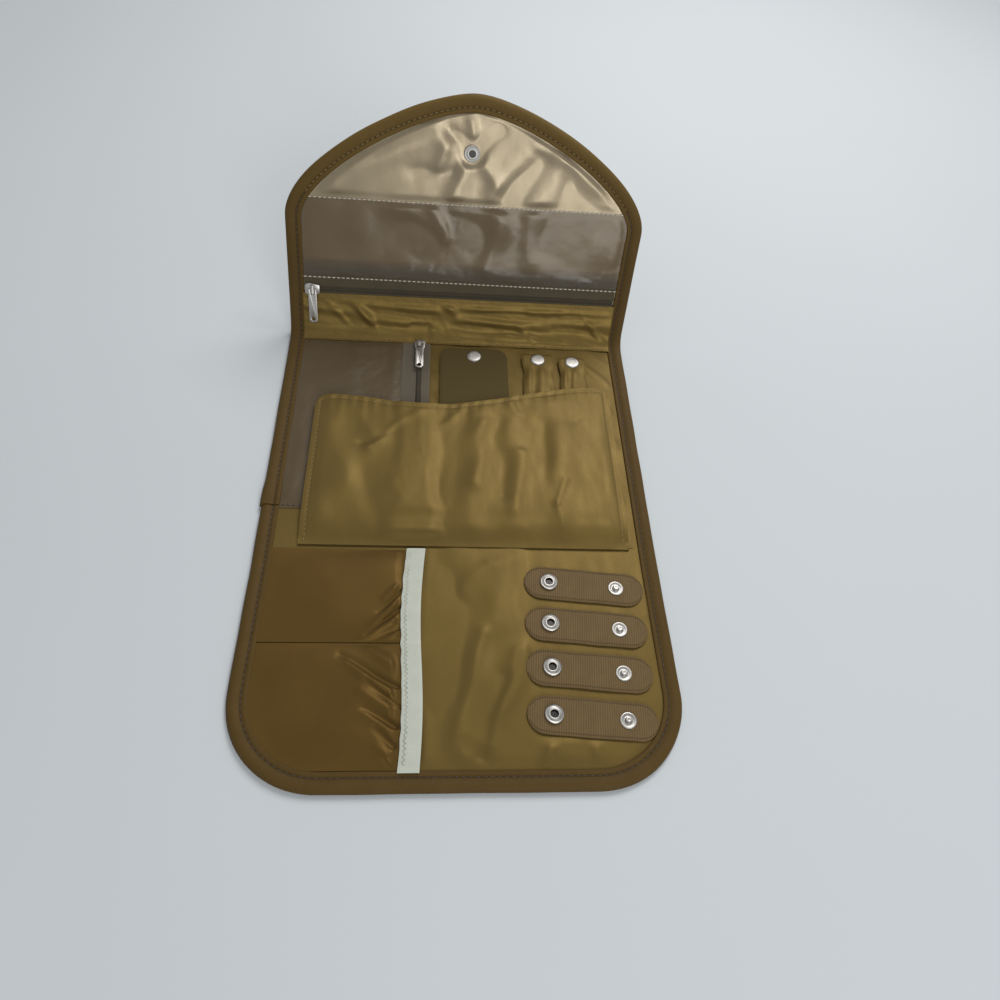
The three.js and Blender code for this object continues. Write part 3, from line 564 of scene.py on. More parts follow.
def finer(grid):
    """A grid of points with twice as many rows and columns, on a smooth curve through them."""
    def along_first(values):
        n = values.shape[0]
        at = np.linspace(0, n - 1, 2 * n - 1)
        i = np.clip(at.astype(int), 0, n - 2)
        t = (at - i)[(...,) + (None,) * (values.ndim - 1)]
        first, last = 2 * values[:1] - values[1:2], 2 * values[-1:] - values[-2:-1]
        padded = np.concatenate([first, values, last])
        a, b, c, d = (padded[i + k] for k in range(4))
        return b + 0.5 * t * (c - a + t * (2 * a - 5 * b + 4 * c - d + t * (3 * (b - c) + d - a)))
    return np.swapaxes(along_first(np.swapaxes(along_first(grid), 0, 1)), 0, 1)


def thick_cloth(name, grid, lay, thickness, finish):
    """A closed sheet whose upper face is a grid of points in space."""
    under = grid - grid_normals(grid) * thickness
    return sheet_between(name, grid, under, finish, lay, 60)


def swept(name, rings, finish, sharp, lay=None):
    """A closed body from rings of points, one ring after another."""
    return new_piece(name, rings, tube_faces(*rings.shape[:2]), finish, lay, sharp)


def turned_piece(name, profile, place, finish, dark=0):
    """A turned piece, from its profile as radius and height. The last dark rows of the profile,
    down its hole, get near-black nickel: painted shade."""
    turn = np.linspace(0, 2 * math.pi, TURN_STEPS, endpoint=False)
    radius, height = np.array(profile, float).T[:, :, None]
    radius = np.maximum(radius, 1e-3)
    rings = np.stack([radius * np.cos(turn), radius * np.sin(turn), height + 0 * turn], -1)
    piece = swept(name, place(rings), finish, 35)
    if dark:
        # Painted shade down the hole.
        piece.data.materials.append(FINISHES["painted_shade_nickel"])
        last = (len(profile) - 1) * TURN_STEPS
        faces = list(piece.data.polygons)
        for face in faces[last - dark * TURN_STEPS:last] + faces[-1:]:
            face.material_index = 1
    return piece


def joined(name, pieces):
    """One object from several."""
    bpy.ops.object.select_all(action="DESELECT")
    for piece in pieces:
        piece.select_set(True)
    bpy.context.view_layer.objects.active = pieces[0]
    bpy.ops.object.join()
    whole = bpy.context.view_layer.objects.active
    whole.select_set(False)
    whole.name = name
    whole.data.name = name
    return whole


def thread_row(name, starts, ends, ups, finish, radius, lift=0.16):
    """Separate stitches, each a short rounded thread that dips into the cloth at both ends."""
    along = ends - starts
    length = np.linalg.norm(along, axis=1, keepdims=True)
    along = along / length
    aside = np.cross(ups, along)
    aside /= np.linalg.norm(aside, axis=1, keepdims=True)
    share = np.array([-1.0, -0.8, -0.35, 0.35, 0.8, 1.0])
    width = np.array([0.35, 0.8, 1.0, 1.0, 0.8, 0.35])
    rise = np.array([-0.9, -0.1, 1.0, 1.0, -0.1, -0.9])
    turn = np.linspace(0, 2 * math.pi, 6, endpoint=False)
    middle = (starts + ends) / 2
    centre = (
        middle[:, None] + along[:, None] * (length[:, None] / 2 * share[:, None])
        + ups[:, None] * (lift * rise[:, None])
    )
    ring = (
        aside[:, None, None] * np.cos(turn)[:, None] + ups[:, None, None] * np.sin(turn)[:, None]
    ) * (radius * width)[:, None, None]
    faces = tube_faces(len(share), len(turn), len(starts))
    return new_piece(name, centre[:, :, None] + ring, faces, finish, sharp=80)


def seam(name, x, s, h, finish, stitch):
    """A row of stitches along a line on the case, h over the lining."""
    base = on_case(x, s, h)
    return seam_in_space(name, base, on_case(x, s, h + 1) - base, finish, stitch)


def seam_in_space(name, base, up, finish, stitch):
    """A row of stitches along the points base, with up as the cloth's directions there."""
    length, gap, radius = stitch
    along = lengths_along(base)
    count = int(along[-1] // (length + gap))
    first = np.arange(count) * (along[-1] / count) + gap / 2
    starts, ends = points_at(first, along, base), points_at(first + length, along, base)
    ups = points_at(first + length / 2, along, up)
    return thread_row(name, starts, ends, ups, finish, radius)


# Materials


def set_input(tree, socket, value):
    """Gives an input a value or another node's output."""
    if isinstance(value, bpy.types.NodeSocket):
        tree.links.new(value, socket)
    else:
        socket.default_value = value


def add_node(tree, kind, inputs=None, **settings):
    """A node with its settings and inputs."""
    made = tree.nodes.new(kind)
    set_all(made, **settings)
    for key, value in (inputs or {}).items():
        set_input(tree, made.inputs[key], value)
    return made


def start_finish(name):
    """A new finish's nodes, its shader and the cloth's own coordinates in millimetres."""
    finish = FINISHES[name] = bpy.data.materials.new(name)
    finish.use_nodes = True
    tree = finish.node_tree
    tree.nodes.clear()
    shader = add_node(tree, "ShaderNodeBsdfPrincipled")
    add_node(tree, "ShaderNodeOutputMaterial", {0: shader.outputs[0]})
    lay = add_node(tree, "ShaderNodeAttribute", attribute_name="lay").outputs["Vector"]
    return tree, shader, lay


def end_finish(tree, shader, bumps, **values):
    """Gives the shader its inputs, and its bumps one on another: each is a height and its depth
    in millimetres."""
    for height, depth in bumps:
        inputs = {"Height": height, "Distance": depth * MM, "Strength": 1.0}
        if "Normal" in values:
            inputs["Normal"] = values["Normal"]
        values["Normal"] = add_node(tree, "ShaderNodeBump", inputs).outputs[0]
    for key, value in values.items():
        set_input(tree, shader.inputs[key.replace("_", " ")], value)


def scaled(tree, vector, scale):
    return add_node(tree, "ShaderNodeMapping", {"Vector": vector, "Scale": scale}).outputs[0]


def part_of(tree, vector, axis):
    return add_node(tree, "ShaderNodeSeparateXYZ", {0: vector}).outputs[axis]


def object_place(tree):
    return add_node(tree, "ShaderNodeTexCoord").outputs["Object"]


def noise(tree, vector, scale, detail=3.0, roughness=0.5):
    return add_node(tree, "ShaderNodeTexNoise", {
        "Vector": vector, "Scale": scale, "Detail": detail, "Roughness": roughness,
    }).outputs["Fac"]


def bands(tree, vector, pitch, direction, distortion=0.0):
    """Bands of one pitch, in millimetres, across X, Y or the diagonal."""
    return add_node(
        tree, "ShaderNodeTexWave",
        {"Vector": vector, "Scale": 2 * math.pi / 20 / pitch, "Distortion": distortion},
        bands_direction=direction, wave_profile="SIN",
    ).outputs["Fac"]


def calc(tree, operation, a, b=0.0):
    return add_node(tree, "ShaderNodeMath", {0: a, 1: b}, operation=operation).outputs[0]


def mixed(tree, factor, a, b):
    """Colour a where the factor is 0 and b where it is 1, each a colour or a node's output."""
    a, b = (v if isinstance(v, bpy.types.NodeSocket) else (*v, 1) for v in (a, b))
    return add_node(
        tree, "ShaderNodeMix", {0: factor, 6: a, 7: b}, data_type="RGBA",
    ).outputs[2]


def ramp(tree, factor, low, high, from_min=0.3, from_max=0.7):
    """low to high as a factor rises, for a colour or a number."""
    inputs = {"Value": factor, "From Min": from_min, "From Max": from_max}
    if isinstance(low, float):
        inputs.update({"To Min": low, "To Max": high})
    share = add_node(tree, "ShaderNodeMapRange", inputs).outputs[0]
    return share if isinstance(low, float) else mixed(tree, share, low, high)


def shade(colour, factor):
    """A colour made lighter or darker."""
    return tuple(min(c * factor, 1.0) for c in colour)


def mottled(tree, factor, colour, low, high):
    """A colour that goes from its shade low to its shade high as a factor rises."""
    return ramp(tree, factor, shade(colour, low), shade(colour, high))


def toned(tree, base, colour, factor, mask, low, high, from_min, from_max):
    """The base colour with a shade of the colour over it, as much as the mask's ramp says."""
    share = ramp(tree, mask, low, high, from_min, from_max)
    return mixed(tree, share, base, shade(colour, factor))


def painted_groove_shade(tree, lay, base, colour):
    """Paints shade into the pressed and stitched grooves, which the lay marks in its third number.
    """
    return toned(tree, base, colour, 0.4, part_of(tree, lay, "Z"), 0.0, 0.75, 0.2, 0.9)


def leatherette(name, colour, tip=None):
    """Embossed leatherette: small round grain, faint creases and a little wear on the crests.
    tip is where along the binding the flap's tip lies: towards it, light is painted on the binding,
    as the leaning flap catches it."""
    tree, shader, lay = start_finish(name)
    grain = add_node(
        tree, "ShaderNodeTexVoronoi", {"Vector": lay, "Scale": 1.15, "Randomness": 0.9},
        feature="F1",
    ).outputs["Distance"]
    rub = noise(tree, lay, 0.35, 5.0, 0.65)
    base = mottled(tree, noise(tree, lay, 0.06, 4.0), colour, 0.93, 1.07)
    # Painted light: the binding is made paler towards the flap's tip, for the light that the
    # leaning flap catches.
    if tip is not None:
        from_tip = calc(tree, "ABSOLUTE", calc(tree, "SUBTRACT", part_of(tree, lay, "Y"), tip))
        painted_flap_light = ramp(tree, from_tip, 0.85, 0.0, 75.0, 175.0)
        flap_light_tone = tuple(c * factor for c, factor in zip(colour, (1.7, 1.8, 1.95)))
        base = mixed(tree, painted_flap_light, base, flap_light_tone)
    base = toned(tree, base, colour, 1.25, rub, 0.0, 0.22, 0.5, 0.75)
    base = toned(tree, base, colour, 0.75, grain, 0.12, 0.0, 0.55, 0.9)
    creases = noise(tree, lay, 0.3, 2.0)
    # Shade is painted into the binding's seam groove.
    end_finish(
        tree, shader, [(creases, 0.2), (grain, 0.05), (noise(tree, lay, 3.0), 0.02)],
        Base_Color=painted_groove_shade(tree, lay, base, colour), Roughness=ramp(tree, rub, 0.56, 0.7),
        Specular_IOR_Level=0.15,
    )


def woven(name, colour, pitch, rough=0.44, metal=0.28, tint=None, crush=0.1, spread=0.08):
    """Glossy woven cloth: crossing threads, soft crush marks and a sheen of its own colour."""
    tree, shader, lay = start_finish(name)
    warp = bands(tree, lay, pitch, "X", 0.3)
    weft = bands(tree, lay, pitch * 1.3, "Y", 0.3)
    threads = calc(tree, "MULTIPLY", warp, weft)
    slubs = noise(tree, scaled(tree, lay, (0.25, 4.0, 1.0)), 0.9, 2.0)
    creases = noise(tree, scaled(tree, lay, (1.0, 0.35, 1.0)), 0.12, 4.0, 0.55)
    base = mottled(tree, noise(tree, lay, 0.03), colour, 1 - spread, 1 + spread)
    base = toned(tree, base, colour, 1.12, slubs, 0.0, 0.25, 0.45, 0.7)
    base = toned(tree, base, colour, 0.7, threads, 0.18, 0.0, 0.0, 0.5)
    glint = tint or colour
    end_finish(
        tree, shader, [(creases, crush), (threads, 0.012)], Base_Color=base,
        Roughness=ramp(tree, creases, rough - 0.05, rough + 0.06), Metallic=metal,
        Sheen_Weight=0.12, Sheen_Roughness=0.4, Sheen_Tint=(*shade(glint, 2.2), 1),
        Specular_Tint=(*shade(glint, 2.6), 1), Specular_IOR_Level=0.7,
    )


def clear_vinyl(name, colour, alpha, rough, sway, smoky=None):
    """Soft clear sheet with faint waves and rubbed gloss. smoky is a stronger tint for the part of
    the flap's window below its first seam. With it, shade is also painted in a dark, less clear
    band at the window's foot, above the zipper."""
    tree, shader, lay = start_finish(name)
    haze = noise(tree, lay, 0.05, 4.0)
    base = mottled(tree, haze, colour, 0.95, 1.06)
    if smoky is not None:
        s = part_of(tree, lay, "Y")
        seam_s, shade_top_s = FLAP_START + WINDOW_SEAMS[0], FLAP_START + WINDOW_SHADE_V
        # Painted shade: a dark, less clear band at the foot of the window, above the zipper.
        painted_tape_shade = ramp(tree, s, 0.7, 0.0, shade_top_s - 2.5, shade_top_s + 4.5)
        base = mixed(tree, painted_tape_shade, base, (0.075, 0.07, 0.052))
        alpha = ramp(tree, s, smoky, alpha, seam_s - 0.5, seam_s + 0.5)
        alpha = calc(tree, "ADD", alpha, calc(tree, "MULTIPLY", painted_tape_shade, 0.45))
    end_finish(
        tree, shader, [(noise(tree, lay, 0.06, 2.0), sway), (noise(tree, lay, 0.5, 2.0), 0.03)],
        Base_Color=base, Roughness=ramp(tree, haze, rough - 0.03, rough + 0.08), Alpha=alpha,
        IOR=1.45, Specular_IOR_Level=0.5,
    )


def tape_cloth(name, colour, across):
    """Zipper tape: a matt herringbone weave with ridges that follow each other across it."""
    tree, shader, lay = start_finish(name)
    twill = bands(tree, lay, 0.9, "DIAGONAL")
    cloth = calc(tree, "MULTIPLY", twill, bands(tree, lay, 1.6, across))
    base = mottled(tree, noise(tree, lay, 0.08, 4.0), colour, 0.85, 1.15)
    base = toned(tree, base, colour, 0.55, cloth, 0.35, 0.0, 0.0, 0.6)
    end_finish(
        tree, shader, [(cloth, 0.08), (noise(tree, lay, 1.5), 0.03)], Base_Color=base,
        Roughness=0.8, Sheen_Weight=0.15,
    )


def board_cloth(name, colour):
    """Matt board cloth with close fine ribs."""
    tree, shader, lay = start_finish(name)
    ribs = bands(tree, lay, 0.8, "Y")
    speck = noise(tree, lay, 1.2, 4.0, 0.7)
    base = mottled(tree, speck, colour, 0.9, 1.1)
    base = toned(tree, base, colour, 0.7, ribs, 0.2, 0.0, 0.0, 0.5)
    end_finish(
        tree, shader, [(ribs, 0.03), (speck, 0.05)], Base_Color=base, Roughness=0.75,
        Sheen_Weight=0.05, Specular_IOR_Level=0.2,
    )


def ribbed_leatherette(name, colour):
    """Ring straps: leatherette pressed with close ribs across its length."""
    tree, shader, lay = start_finish(name)
    ribs = bands(tree, lay, 1.25, "X", 1.6)
    grains = noise(tree, lay, 1.4, 3.0, 0.6)
    pattern = calc(
        tree, "ADD", calc(tree, "MULTIPLY", ribs, 0.6), calc(tree, "MULTIPLY", grains, 0.5),
    )
    base = mottled(tree, noise(tree, lay, 0.12, 4.0), colour, 0.92, 1.1)
    base = toned(tree, base, colour, 0.5, pattern, 0.6, 0.0, 0.2, 0.75)
    # Shade is painted into the groove pressed round the strap's edge.
    end_finish(
        tree, shader, [(pattern, 0.2)], Base_Color=painted_groove_shade(tree, lay, base, colour),
        Roughness=0.65, Specular_IOR_Level=0.3,
    )


def knit_elastic(name, colour):
    """Ribbed elastic: ridges along its length and close picks across."""
    tree, shader, lay = start_finish(name)
    knit = calc(tree, "MULTIPLY", bands(tree, lay, 0.9, "X"), bands(tree, lay, 0.55, "Y"))
    base = mottled(tree, noise(tree, lay, 0.12, 4.0), colour, 0.94, 1.03)
    base = toned(tree, base, colour, 0.72, knit, 0.25, 0.0, 0.0, 0.5)
    end_finish(tree, shader, [(knit, 0.06)], Base_Color=base, Roughness=0.8, Sheen_Weight=0.2)


def plated(name, colour, rough=0.36, metallic=1.0):
    """Nickel plating: fine scratches, finger marks and a duller bloom in patches."""
    tree, shader, _ = start_finish(name)
    place = object_place(tree)
    marks = noise(tree, place, 260.0, 4.0, 0.6)
    scratches = noise(tree, scaled(tree, place, (3000.0, 400.0, 400.0)), 1.0, 2.0)
    end_finish(
        tree, shader, [(scratches, 0.004), (marks, 0.006)],
        Base_Color=mottled(tree, marks, colour, 0.86, 1.04),
        Roughness=ramp(tree, marks, rough - 0.06, rough + 0.12), Metallic=metallic,
    )


def spun_thread(name, colour):
    """Polyester thread: a close twist with a soft shine."""
    tree, shader, lay = start_finish(name)
    twist = bands(tree, lay, 0.35, "DIAGONAL")
    end_finish(
        tree, shader, [(twist, 0.03)], Base_Color=mottled(tree, twist, colour, 0.75, 1.15),
        Roughness=0.45, Sheen_Weight=0.3,
    )


def plain_floor(name, colour):
    """Pale matt table top with a barely seen mottle."""
    tree, shader, _ = start_finish(name)
    mottle = noise(tree, object_place(tree), 3.0)
    end_finish(
        tree, shader, [], Base_Color=mottled(tree, mottle, colour, 0.99, 1.01),
        Roughness=0.95, Specular_IOR_Level=0.05,
    )


# Cloth simulation


def flat_board(x0, x1, y0, y1, z):
    """The corners of a level board."""
    return np.array([[x0, y0, z], [x1, y0, z], [x1, y1, z], [x0, y1, z]], float)


def settle(grid, pinned, gravity, stiff, bend, under):
    """Lets a grid of cloth settle on boards and returns its new points. pinned is each point's
    hold, from 0 to 1. The cloth was cut to the shape it is placed in."""
    scene = bpy.context.scene
    rows, columns = grid.shape[:2]
    placed = grid.reshape(-1, 3) * SETTLING_SCALE
    mesh = bpy.data.meshes.new("settling")
    mesh.from_pydata(placed.tolist(), [], grid_quads(rows, columns).tolist())
    cloth_object = new_object("settling", mesh)
    group = cloth_object.vertex_groups.new(name="pinned")
    for index, hold in enumerate(pinned.ravel()):
        if hold > 0:
            group.add([index], float(hold), "REPLACE")
    modifier = cloth_object.modifiers.new("cloth", "CLOTH")
    cloth_object.shape_key_add(name="placed")
    cut = cloth_object.shape_key_add(name="cut")
    cut.data.foreach_set("co", placed.astype(np.float32).ravel())
    set_all(
        modifier.settings, rest_shape_key=cut, quality=7, mass=0.2, air_damping=4.0,
        tension_stiffness=stiff, compression_stiffness=stiff, shear_stiffness=stiff / 3,
        bending_stiffness=bend, tension_damping=10.0, compression_damping=10.0,
        bending_damping=2.0, vertex_group_mass="pinned",
    )
    modifier.settings.effector_weights.gravity = gravity
    set_all(
        modifier.collision_settings, use_collision=True, distance_min=0.004,
        use_self_collision=False,
    )
    boards = []
    for corners in under:
        board_mesh = bpy.data.meshes.new("board")
        board_mesh.from_pydata((corners * SETTLING_SCALE).tolist(), [], [[0, 1, 2, 3]])
        board = new_object("board", board_mesh)
        board.modifiers.new("collision", "COLLISION")
        set_all(board.collision, thickness_outer=0.004, cloth_friction=5.0)
        boards.append(board)
    steps = scene.organizer_sizes.settle_frames
    set_all(modifier.point_cache, frame_start=1, frame_end=steps)
    for step in range(1, steps + 1):
        scene.frame_set(step)
    settled = cloth_object.evaluated_get(bpy.context.evaluated_depsgraph_get())
    found = np.zeros(rows * columns * 3, np.float32)
    settled.data.vertices.foreach_get("co", found)
    for extra in [cloth_object, *boards]:
        data = extra.data
        bpy.data.objects.remove(extra)
        bpy.data.meshes.remove(data)
    scene.frame_set(1)
    result = found.reshape(rows, columns, 3).astype(float) / SETTLING_SCALE
    if not np.isfinite(result).all():
        raise RuntimeError("the cloth didn't settle")
    return result


def eased(grid, settled, limit, passes):
    """The grid moved as the cloth settled, without its finest ripples and by limit at most."""
    moved = settled - grid
    for _ in range(passes):
        inner = moved[1:-1, 1:-1]
        around = moved[:-2, 1:-1] + moved[2:, 1:-1] + moved[1:-1, :-2] + moved[1:-1, 2:]
        moved[1:-1, 1:-1] = 0.4 * inner + 0.15 * around
    far = np.maximum(np.linalg.norm(moved, axis=-1, keepdims=True), 1e-6)
    return grid + moved / far * limit * np.tanh(far / limit)


# Parts of pieces


# The binding's section, as inset from the edge and height over the lining
BINDING_SECTION = np.array([
    (10.3, -0.05), (10.4, 0.4), (10.15, 0.8), (9.3, 0.95), (8.3, 0.8), (7.3, 0.25),
    (6.3, 0.8), (5.0, 1.3), (3.7, 1.48), (2.4, 1.3), (1.2, 0.7), (0.4, -0.2), (0.05, -1.1),
    (0.3, -1.95), (1.1, -2.6), (2.4, -2.93), (5.0, -2.98), (9.6, -2.98), (10.3, -2.7),
    (10.3, -1.5),
])


def binding_piece(name, path, into, finish, swell):
    """A length of edge binding along a path, with its padding pulled in at the seam. swell is
    how much thicker it is at each point, where its folded end lies over the other length."""
    inset, height = BINDING_SECTION.T
    along = lengths_along(path)
    hand = waves(along, along * 0, 38, 5)[:, None] * 0.12
    pull = np.exp(-((inset - BINDING_SEAM) / 0.7) ** 2) * (height > 0)
    pucker = np.cos(along / 3.5 * 2 * math.pi)[:, None] * pull * 0.08
    top, outer = height > 0, inset < 5
    h = height + top * hand * np.minimum(1, inset / 3) + pucker + swell[:, None] * top * 0.55
    wide = inset - hand * outer - swell[:, None] * np.where(outer, 0.9, -0.25)
    x = path[:, :1] + into[:, :1] * wide
    s = path[:, 1:] + into[:, 1:] * wide
    # The lay's third number marks the seam's groove, where shade is painted.
    lay = np.stack(np.broadcast_arrays(inset + 2 * height, along[:, None], pull), -1)
    return swept(name, on_case(x, s, h), finish, 70, lay)


def cap_profile(seat):
    """A low domed cap from its edge to its crown."""
    return [
        (4.85, seat), (5.0, seat + 0.12), (4.98, seat + 0.34), (4.8, seat + 0.55),
        (4.45, seat + 0.7), (3.9, seat + 0.79), (2.8, seat + 0.86), (1.4, seat + 0.9),
        (0, seat + 0.91),
    ]


def socket_profile(seat, face):
    """A socket ring with a rolled rim, a groove, a raised lip and a hole, which is painted dark as
    shade.
    """
    return [
        (4.6, seat), (4.95, seat + 0.15), (5.0, face - 0.75), (4.85, face - 0.35),
        (4.5, face - 0.12), (4.05, face - 0.18), (3.75, face - 0.42), (3.35, face - 0.36),
        (2.95, face - 0.08), (2.6, face), (2.25, face - 0.08), (2.08, face - 0.4),
        (2.06, seat + 0.35), (0, seat + 0.35),
    ]


def nub_profile(flange, height):
    """A stud's nub, which the socket closes on."""
    crown = flange + height
    return [
        (2.3, flange + 0.02), (1.95, flange + 0.1), (1.75, flange + 0.35), (1.8, crown - 0.45),
        (1.6, crown - 0.15), (1.2, crown), (0.7, crown - 0.05), (0, crown - 0.18),
    ]


def turned_by(tilt, x, y, px, py):
    """The points px, py turned by tilt and moved to x, y."""
    c, s = math.cos(tilt), math.sin(tilt)
    return x + c * px - s * py, y + s * px + c * py


def flat_place(x, y, tilt=0.0):
    """Moves points to a place on the flat panels."""
    def place(points):
        px, py = turned_by(tilt, x, y, points[..., 0], points[..., 1])
        return np.stack([px, py, FACE + points[..., 2]], -1)
    return place


def flap_place(x, v):
    """Moves points to a place on the flap."""
    def place(points):
        return on_case(x + points[..., 0], FLAP_START + v + points[..., 1], points[..., 2])
    return place


def ring_origin(index):
    """Where a ring strap's socket lies."""
    return 50.2 - 0.8 * index, LOWER_FOLD_Y - 18.2 - 25.2 * index


def to_ring(index, px, py):
    """From a ring strap's own length and width to the panel."""
    return turned_by(RING_TILT, *ring_origin(index), px, py)


def rounded_width(t, low, high, half, corners):
    """Half the width of a strip with rounded ends, at lengths t from low to high."""
    width = np.full_like(t, half)
    for end, sign, radius in ((low, 1, corners[0]), (high, -1, corners[1])):
        inside = (t - end) * sign
        curve = np.sqrt(np.maximum(radius ** 2 - np.maximum(radius - inside, 0) ** 2, 0))
        width = np.minimum(width, half - radius + np.where(inside < radius, curve, radius))
    return np.maximum(width, 0.05)


def end_spacing(low, high, count, radii):
    """Lengths from low to high, closer together at rounded ends."""
    turn = np.linspace(0, math.pi / 2, 9)
    start = low + radii[0] * (1 - np.cos(turn)) if radii[0] else np.array([low])
    finish = high - radii[1] * (1 - np.cos(turn)) if radii[1] else np.array([high])
    middle = np.linspace(start[-1], finish[-1], count)[1:-1]
    return np.r_[start, middle, finish[::-1]]


def from_cover_sides(x):
    """How far x lies inside the cover flap's nearer side."""
    return np.minimum(x - COVER[0], COVER[1] - x)


def cover_top(x):
    """The cover flap's upper edge: it dips over the pocket zipper and climbs to both sides."""
    share = np.where(x < -22, (-22 - x) / 58, (x + 22) / 118)
    lift = np.where(x < -22, 6.0, 20.0)
    edge = 23.0 + lift * smooth(share)
    inside = 8.0 - np.minimum(from_cover_sides(x), 8.0)
    return edge - (8.0 - np.sqrt(np.maximum(64.0 - inside ** 2, 0)))


def near_slider(x):
    """1 over the pocket zipper's slider and 0 beside it."""
    return 1 - smooth((np.abs(x - SIDE_ZIPPER_X) - 5) / 4)


def stand_for(piece, nodes, body=None, blend=None):
    """Puts a piece on its body, or with a blend bakes its place in, in the place of CAD nodes."""
    if blend:
        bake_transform(piece)
    else:
        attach(piece, body)
    if nodes:
        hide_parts(*nodes)


class OrganizerOperator(bpy.types.Operator):
    """Base of the operators that make the organizer's pieces."""

    bl_options = {"REGISTER", "UNDO"}

    @property
    def sizes(self):
        return bpy.context.scene.organizer_sizes

    @property
    def colours(self):
        return bpy.context.scene.organizer_colours


class ORGANIZER_OT_finishes(OrganizerOperator):
    """Make the cloth, leatherette, vinyl and metal finishes"""

    bl_idname = "organizer.finishes"
    bl_label = "Finishes"

    def execute(self, context):
        colours, pitch = self.colours, self.sizes.weave / MM
        leatherette("leatherette", colours.leatherette)
        # The binding's leatherette has light painted on towards the flap's tip.
        leatherette("binding_leatherette", colours.leatherette, tip_along())
        woven("satin", colours.satin, pitch)
        # Painted light: the strip's satin is the lining satin made lighter, for the light it
        # catches over the fold.
        woven("painted_light_strip_satin", shade(colours.satin, 1.2), pitch, metal=0.4, crush=0.2)
        woven("taffeta", colours.taffeta, pitch, metal=0.25)
        woven(
            "silver_satin", colours.silver_satin, pitch, rough=0.33, metal=0.6,
            tint=shade(colours.silver_satin, 0.5), crush=0.15, spread=0.06,
        )
        clear_vinyl("window_vinyl", colours.window, 0.08, 0.14, 0.8, smoky=0.42)
        clear_vinyl("pocket_vinyl", colours.vinyl, 0.55, 0.34, 1.4)
        tape_cloth("zipper_tape", colours.tape, "Y")
        tape_cloth("side_zipper_tape", colours.side_tape, "X")
        tape_cloth("zipper_coil", shade(colours.tape, 0.7), "Y")
        board_cloth("board_cloth", colours.board)
        ribbed_leatherette("ribbed_leatherette", colours.strap)
        knit_elastic("elastic", colours.elastic)
        spun_thread("dark_thread", colours.dark_thread)
        spun_thread("gold_thread", colours.gold_thread)
        spun_thread("cream_thread", colours.cream_thread)
        spun_thread("white_thread", shade(colours.elastic, 0.8))
        plated("nickel", colours.nickel)
        # Painted light: a paler nickel for the flap's closure snap, whose face catches the front
        # light.
        plated("painted_light_nickel", shade(colours.nickel, 1.35), 0.42, metallic=0.55)
        # Painted shade: near-black nickel for the insides of the snap holes.
        plated("painted_shade_nickel", shade(colours.nickel, 0.12), 0.35)
        plain_floor("floor", colours.floor)
        return {"FINISHED"}


class ORGANIZER_OT_camera(OrganizerOperator):
    """Set the camera to the photograph's view"""

    bl_idname = "organizer.camera"
    bl_label = "Camera"

    def execute(self, context):
        yaw, pitch, roll = (math.radians(angle) for angle in CAMERA_ANGLES)
        forward = Vector((
            math.sin(yaw) * math.cos(pitch), math.cos(yaw) * math.cos(pitch), -math.sin(pitch),
        ))
        level = Vector((math.cos(yaw), -math.sin(yaw), 0))
        upright = level.cross(forward)
        right = math.cos(roll) * level + math.sin(roll) * upright
        up = -math.sin(roll) * level + math.cos(roll) * upright
        data = bpy.data.cameras.new("camera")
        set_all(data, lens=CAMERA_LENS, sensor_width=36.0, clip_start=0.01)
        matrix = Matrix((right, up, -forward)).transposed().to_4x4()
        matrix.translation = Vector(CAMERA_PLACE) * MM
        camera = new_object("camera", data)
        camera.matrix_world = matrix
        context.scene.camera = camera
        return {"FINISHED"}


def under_shell(x, s, edge):
    """The outer face of the leatherette cover, which turns up under the binding at its edge."""
    under = UNDERSIDE + 0.12 + 0.08 * (1 + waves(x, s, 60, 2))
    return np.minimum(under + 0.3 * (1 - smooth(edge / 4)), -1.2)


def round_closure_stud(x, s, under):
    """The cover's outer face, with the hollow that the closure stud sits in."""
    low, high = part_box("closure_stud")
    stud_x, stud_s = (low.x + high.x) / 2 / MM, (low.y + high.y) / 2 / MM
    near = np.hypot(x - stud_x, s - stud_s)
    hollow = np.maximum(under, -1.25 - 1.7 * smooth((near - 6.5) / 2.5))
    return np.where(near < 9.5, hollow, under)


class ORGANIZER_OT_outer_cover(OrganizerOperator):
    """Make the leatherette cover on the outside of the three panels"""

    bl_idname = "organizer.outer_cover"
    bl_label = "Outer cover"

    def execute(self, context):
        low, high = s_limits(SHELL_INSET)
        for name, start, end, joint, nodes in (
            ("outer_cover_lower", low, SHELL_SPLIT_S, LOWER, ("bottom_shell", "lower_fold")),
            ("outer_cover_upper", SHELL_SPLIT_S, high, UPPER,
             ("middle_shell", "flap_shell", "upper_fold")),
        ):
            rows = np.unique(np.r_[
                start + (end - start) * (1 - np.cos(np.linspace(0, math.pi, 70))) / 2,
                np.arange(LOWER_FOLD_Y - 8, LOWER_FOLD_Y + 8, 0.5),
                np.linspace(FOLD_Y - 2, FLAP_START + 2, 28),
            ])
            rows = rows[(rows >= start) & (rows <= end)]
            x, s, from_left, from_right = grid_of_case(rows, SHELL_INSET, 90)
            under = under_shell(x, s, np.minimum(from_left, from_right))
            if joint is LOWER:
                under = round_closure_stud(x, s, under)
            piece = sheet_between(
                name, on_case(x, s, -0.75), on_case(x, s, under), "leatherette", flat_lay(x, s),
            )
            stand_for(piece, nodes, blend=joint)
        return {"FINISHED"}


